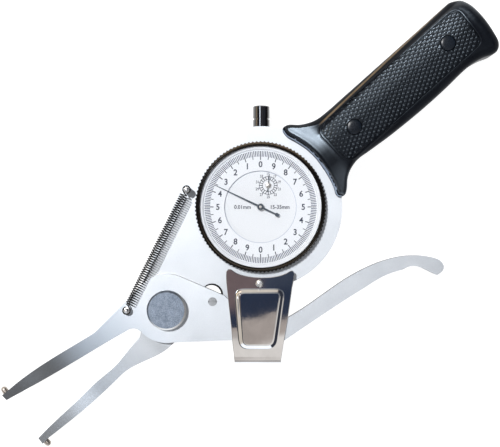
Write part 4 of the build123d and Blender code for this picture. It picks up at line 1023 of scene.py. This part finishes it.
def bulge(P):
    """Height of the embossed panel above the sheet."""
    poly = np.array(BULGE, float)
    if area2(poly) < 0:
        poly = poly[::-1]
    cut = round_poly([tuple(p) for p in poly], 4.6, 0.35)
    d = seg_dist(P, cut, np.roll(cut, -1, axis=0))
    d = np.where(inside(P, cut), d, 0.0)
    q = np.clip(d / 2.25, 0, 1)
    foot = 0.30
    # rounded foot, straight slope, rounded shoulder
    wall = np.where(q < foot, q * q / (2 * foot), np.where(q > 1 - foot, (1 - foot) - (1 - q) ** 2 / (2 * foot), q - foot / 2))
    wall = wall / (1 - foot)
    crown = (0.0003 - 0.0003 * np.sin((P[:, 0] + 1.0) * 0.45)) * (P[:, 1] + 46.5) - 0.016 * (P[:, 0] - 4.1)
    sag = 0.0010 * np.clip(-48.0 - P[:, 1], 0, 14) ** 2
    return 1.33 * wall + crown * wall ** 4 - sag * (1 - wall)


NU, NV = 118, 150
grid = []
span_u = np.linspace(0, 1, NU + 1)
for j in range(NV + 1):
    v = j / NV
    for u in span_u:
        k = u * (len(TOP) - 1)
        i0 = int(min(k, len(TOP) - 2))
        top = TOP[i0] + (TOP[i0 + 1] - TOP[i0]) * (k - i0)
        y = top[1] * (1 - v) + y_end * v
        xl, xr = along(GUARD_LEFT, 1, y), along(GUARD_RIGHT, 1, y)
        y_ref = -26.0
        blend_top = min(1.0, max(0.0, (y - y_end) / (top[1] - y_end)))
        x_line = xl + (xr - xl) * u
        # the top edge keeps its own x, and lower rows go over to the even spacing
        w = max(0.0, 1 - v * 6)
        grid.append((top[0] * w + x_line * (1 - w), y))
P = np.array(grid)
H = bulge(P)
rows = NV + 1
sheet = [(float(x), float(y), ZG1 + float(h)) for (x, y), h in zip(P, H)]
xb = [p[0] for p in grid[-(NU + 1):]]


def x_shift(y):
    """x of the left and the right side at a given y."""
    return along(GUARD_LEFT, 1, y), along(GUARD_RIGHT, 1, y)


extra = []
for i in range(1, 9):
    a = math.radians(90 + 90 * i / 8)
    extra.append((Y_BOT + R_BEND + R_BEND * math.cos(a), ZG1 - R_BEND + R_BEND * math.sin(a)))
for i in range(1, 9):
    extra.append((Y_BOT, (ZG1 - R_BEND) + (Z_LIP + R_BEND - (ZG1 - R_BEND)) * i / 8))
for i in range(1, 9):
    a = math.radians(180 + 90 * i / 8)
    extra.append((Y_BOT + R_BEND + R_BEND * math.cos(a), Z_LIP + R_BEND + R_BEND * math.sin(a)))
for i in range(1, 5):
    extra.append((Y_BOT + R_BEND + (RETURN - R_BEND) * i / 4, Z_LIP))
x0, x1 = xb[0], xb[-1]
for y, z in extra:
    for u in span_u:
        sheet.append((x0 + (x1 - x0) * u, y, z))
rows += len(extra)
faces = []
for j in range(rows - 1):
    for i in range(NU):
        a = j * (NU + 1) + i
        faces.append((a, a + NU + 1, a + NU + 2, a + 1))
guard = make("guard_sheet", sheet, faces, M_CHROME, None, (), 50)
so = guard.modifiers.new("sheet_thickness", "SOLIDIFY")
so.thickness = THICK * 1e-3
so.offset = -1.0
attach(guard, "frame")
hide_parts("guard_cover")

# ------------------------------------------------------------------ smooth shading of carried-over nodes
for name, ob in NODES.items():
    if ob.hide_render:
        continue
    ob.data.shade_smooth()
    ob.data.set_sharp_from_angle(angle=math.radians(28))

# ------------------------------------------------------------------ stage, light, camera
me = bpy.data.meshes.new("floor")
S = 4.0
me.from_pydata([(-S, -S, -0.00002), (S, -S, -0.00002), (S, S, -0.00002), (-S, S, -0.00002)], [], [(0, 1, 2, 3)])
floor = bpy.data.objects.new("floor", me)
scene.collection.objects.link(floor)
k = Mat("floor_paper", 0.0)
n = k.noise(0.02, 2, 0.5)
k.color(k.ramp(n, (0.30, 0.30, 0.30), (0.32, 0.32, 0.32), 0.3, 0.7))
k.b.inputs["Roughness"].default_value = 0.9
k.b.inputs["Specular IOR Level"].default_value = 0.0
k.b.inputs["Emission Color"].default_value = (1, 1, 1, 1)
k.b.inputs["Emission Strength"].default_value = 0.93
me.materials.append(k.m)

sun = bpy.data.lights.new("key", "SUN")
sun.energy = 2.7
sun.angle = math.radians(0.45)
sun.color = (0.985, 0.99, 1.0)
so = bpy.data.objects.new("key", sun)
from mathutils import Vector
so.rotation_mode = "QUATERNION"
so.rotation_quaternion = Vector((0.27, -0.27, -0.93)).to_track_quat("-Z", "Y")
scene.collection.objects.link(so)

world = bpy.data.worlds.new("studio")
scene.world = world
world.use_nodes = True
nt = world.node_tree
nt.nodes.clear()
w_out = nt.nodes.new("ShaderNodeOutputWorld")
bg = nt.nodes.new("ShaderNodeBackground")
nt.links.new(bg.outputs[0], w_out.inputs[0])
tc = nt.nodes.new("ShaderNodeTexCoord")
sep = nt.nodes.new("ShaderNodeSeparateXYZ")
nt.links.new(tc.outputs["Generated"], sep.inputs[0])


def wm(op, a, b=None, c=None):
    m = nt.nodes.new("ShaderNodeMath")
    m.operation = op
    for i, v in enumerate((a, b, c)):
        if v is None:
            continue
        if isinstance(v, (int, float)):
            m.inputs[i].default_value = v
        else:
            nt.links.new(v, m.inputs[i])
    return m.outputs[0]


def wstep(v, a, b):
    """0 below a, 1 above b, smooth between; falls if a > b."""
    m = nt.nodes.new("ShaderNodeMapRange")
    m.interpolation_type = "SMOOTHSTEP"
    lo, hi = (a, b) if a < b else (b, a)
    m.inputs["From Min"].default_value = lo
    m.inputs["From Max"].default_value = hi
    m.inputs["To Min"].default_value = 0.0 if a < b else 1.0
    m.inputs["To Max"].default_value = 1.0 if a < b else 0.0
    nt.links.new(v, m.inputs["Value"])
    return m.outputs["Result"]


def wmix(fac, a, b):
    m = nt.nodes.new("ShaderNodeMix")
    m.data_type = "RGBA"
    if isinstance(fac, (int, float)):
        m.inputs["Factor"].default_value = fac
    else:
        nt.links.new(fac, m.inputs["Factor"])
    for i, v in ((6, a), (7, b)):
        if isinstance(v, tuple):
            m.inputs[i].default_value = (*v, 1)
        else:
            nt.links.new(v, m.inputs[i])
    return m.outputs[2]


zz = wm("MAXIMUM", sep.outputs[2], 0.02)
px = wm("DIVIDE", sep.outputs[0], zz)
py = wm("DIVIDE", sep.outputs[1], zz)
# soft pale ceiling, a little brighter and cooler to the upper right
base = wmix(wstep(wm("ADD", px, wm("MULTIPLY", py, 0.6)), -0.6, 0.5), (0.385, 0.38, 0.385), (0.47, 0.485, 0.515))
base = wmix(wstep(wm("ADD", px, wm("MULTIPLY", py, 0.3)), 0.15, 0.42), base, (0.13, 0.145, 0.18))
# paler card in front, below the middle
card = wm("MULTIPLY", wstep(py, -0.115, -0.155), wstep(px, -0.16, -0.08))
base = wmix(card, base, (0.80, 0.78, 0.76))
# a dimmer corner to the upper right
corner = wm("MULTIPLY", wstep(px, 0.11, 0.18), wstep(py, 0.07, 0.14))
base = wmix(corner, base, (0.13, 0.145, 0.18))
# dark side towards the lower left
u = wm("ADD", wm("MULTIPLY", px, -0.97), wm("MULTIPLY", py, -0.2))
base = wmix(wstep(u, 0.14, 0.30), base, (0.05, 0.05, 0.052))
# the camera's own dark patch overhead, with the paler table edge below it
v_ = wm("SUBTRACT", py, wm("MULTIPLY", px, 0.24))
pale = wmix(wm("MULTIPLY", wstep(v_, -0.105, -0.124), wstep(px, 0.024, 0.008)), (0.46, 0.41, 0.385), (0.54, 0.505, 0.49))
pale = wmix(wstep(v_, -0.124, -0.143), pale, (0.84, 0.81, 0.79))
navy = wmix(wstep(v_, -0.066, -0.078), (0.050, 0.064, 0.102), (0.030, 0.042, 0.078))
pale = wmix(wstep(v_, -0.1005, -0.1040), navy, pale)
warm = wmix(wstep(v_, -0.073, -0.090), (0.185, 0.140, 0.148), pale)
patch = wmix(wstep(px, 0.003, 0.017), warm, pale)
mask = wm("MULTIPLY", wm("MULTIPLY", wstep(py, -0.26, -0.20), wstep(py, 0.20, 0.12)),
          wm("MULTIPLY", wstep(px, -0.15, -0.10), wstep(px, 0.16, 0.11)))
base = wmix(mask, base, patch)
# low ring of the room: pale beige to the left and above, dark to the right, blue-white below
low = wstep(zz, 0.66, 0.50)
ring = wmix(wstep(sep.outputs[0], 0.10, 0.40), (0.74, 0.68, 0.61), (0.040, 0.044, 0.062))
over = wm("SUBTRACT", sep.outputs[1], sep.outputs[0])
ring = wmix(wstep(over, 1.10, 1.24), ring, (0.055, 0.050, 0.046))
ring = wmix(wm("MULTIPLY", wstep(sep.outputs[1], -0.45, -0.70), wstep(sep.outputs[0], 0.42, 0.25)), ring, (1.25, 1.35, 1.50))
base = wmix(low, base, ring)
# warm lamp just over the table on the upper left
lamp = wm("MULTIPLY", wm("MULTIPLY", wstep(zz, 0.27, 0.23), wstep(zz, 0.11, 0.16)),
          wstep(wm("SUBTRACT", sep.outputs[1], sep.outputs[0]), 1.12, 1.28))
sky = wmix(lamp, base, (1.7, 1.45, 1.2))
# small cool window on the upper left, and a thin warm one low on the left
window = wm("MULTIPLY", wm("MULTIPLY", wstep(py, 0.075, 0.090), wstep(py, 0.170, 0.150)),
            wm("MULTIPLY", wstep(px, -0.52, -0.44), wstep(px, -0.20, -0.27)))
sky = wmix(window, sky, (7.5, 8.3, 9.6))
slit = wm("MULTIPLY", wm("MULTIPLY", wstep(zz, 0.34, 0.37), wstep(zz, 0.43, 0.40)),
          wm("MULTIPLY", wstep(sep.outputs[0], -0.80, -0.86), wstep(sep.outputs[1], 0.015, 0.03)))
sky = wmix(slit, sky, (4.0, 2.9, 1.5))
nt.links.new(sky, bg.inputs["Color"])
bg.inputs["Strength"].default_value = 1.0

cam = bpy.data.cameras.new("camera")
cam.sensor_width = 36.0
cam.lens = 72.92
cam.clip_start, cam.clip_end = 0.01, 20.0
co = bpy.data.objects.new("camera", cam)
co.location = (-0.000495, 0.000015, 0.4905)
co.rotation_euler = (0, 0, 0)
scene.collection.objects.link(co)
scene.camera = co
scene.view_settings.view_transform = "Standard"
scene.view_settings.look = "None"
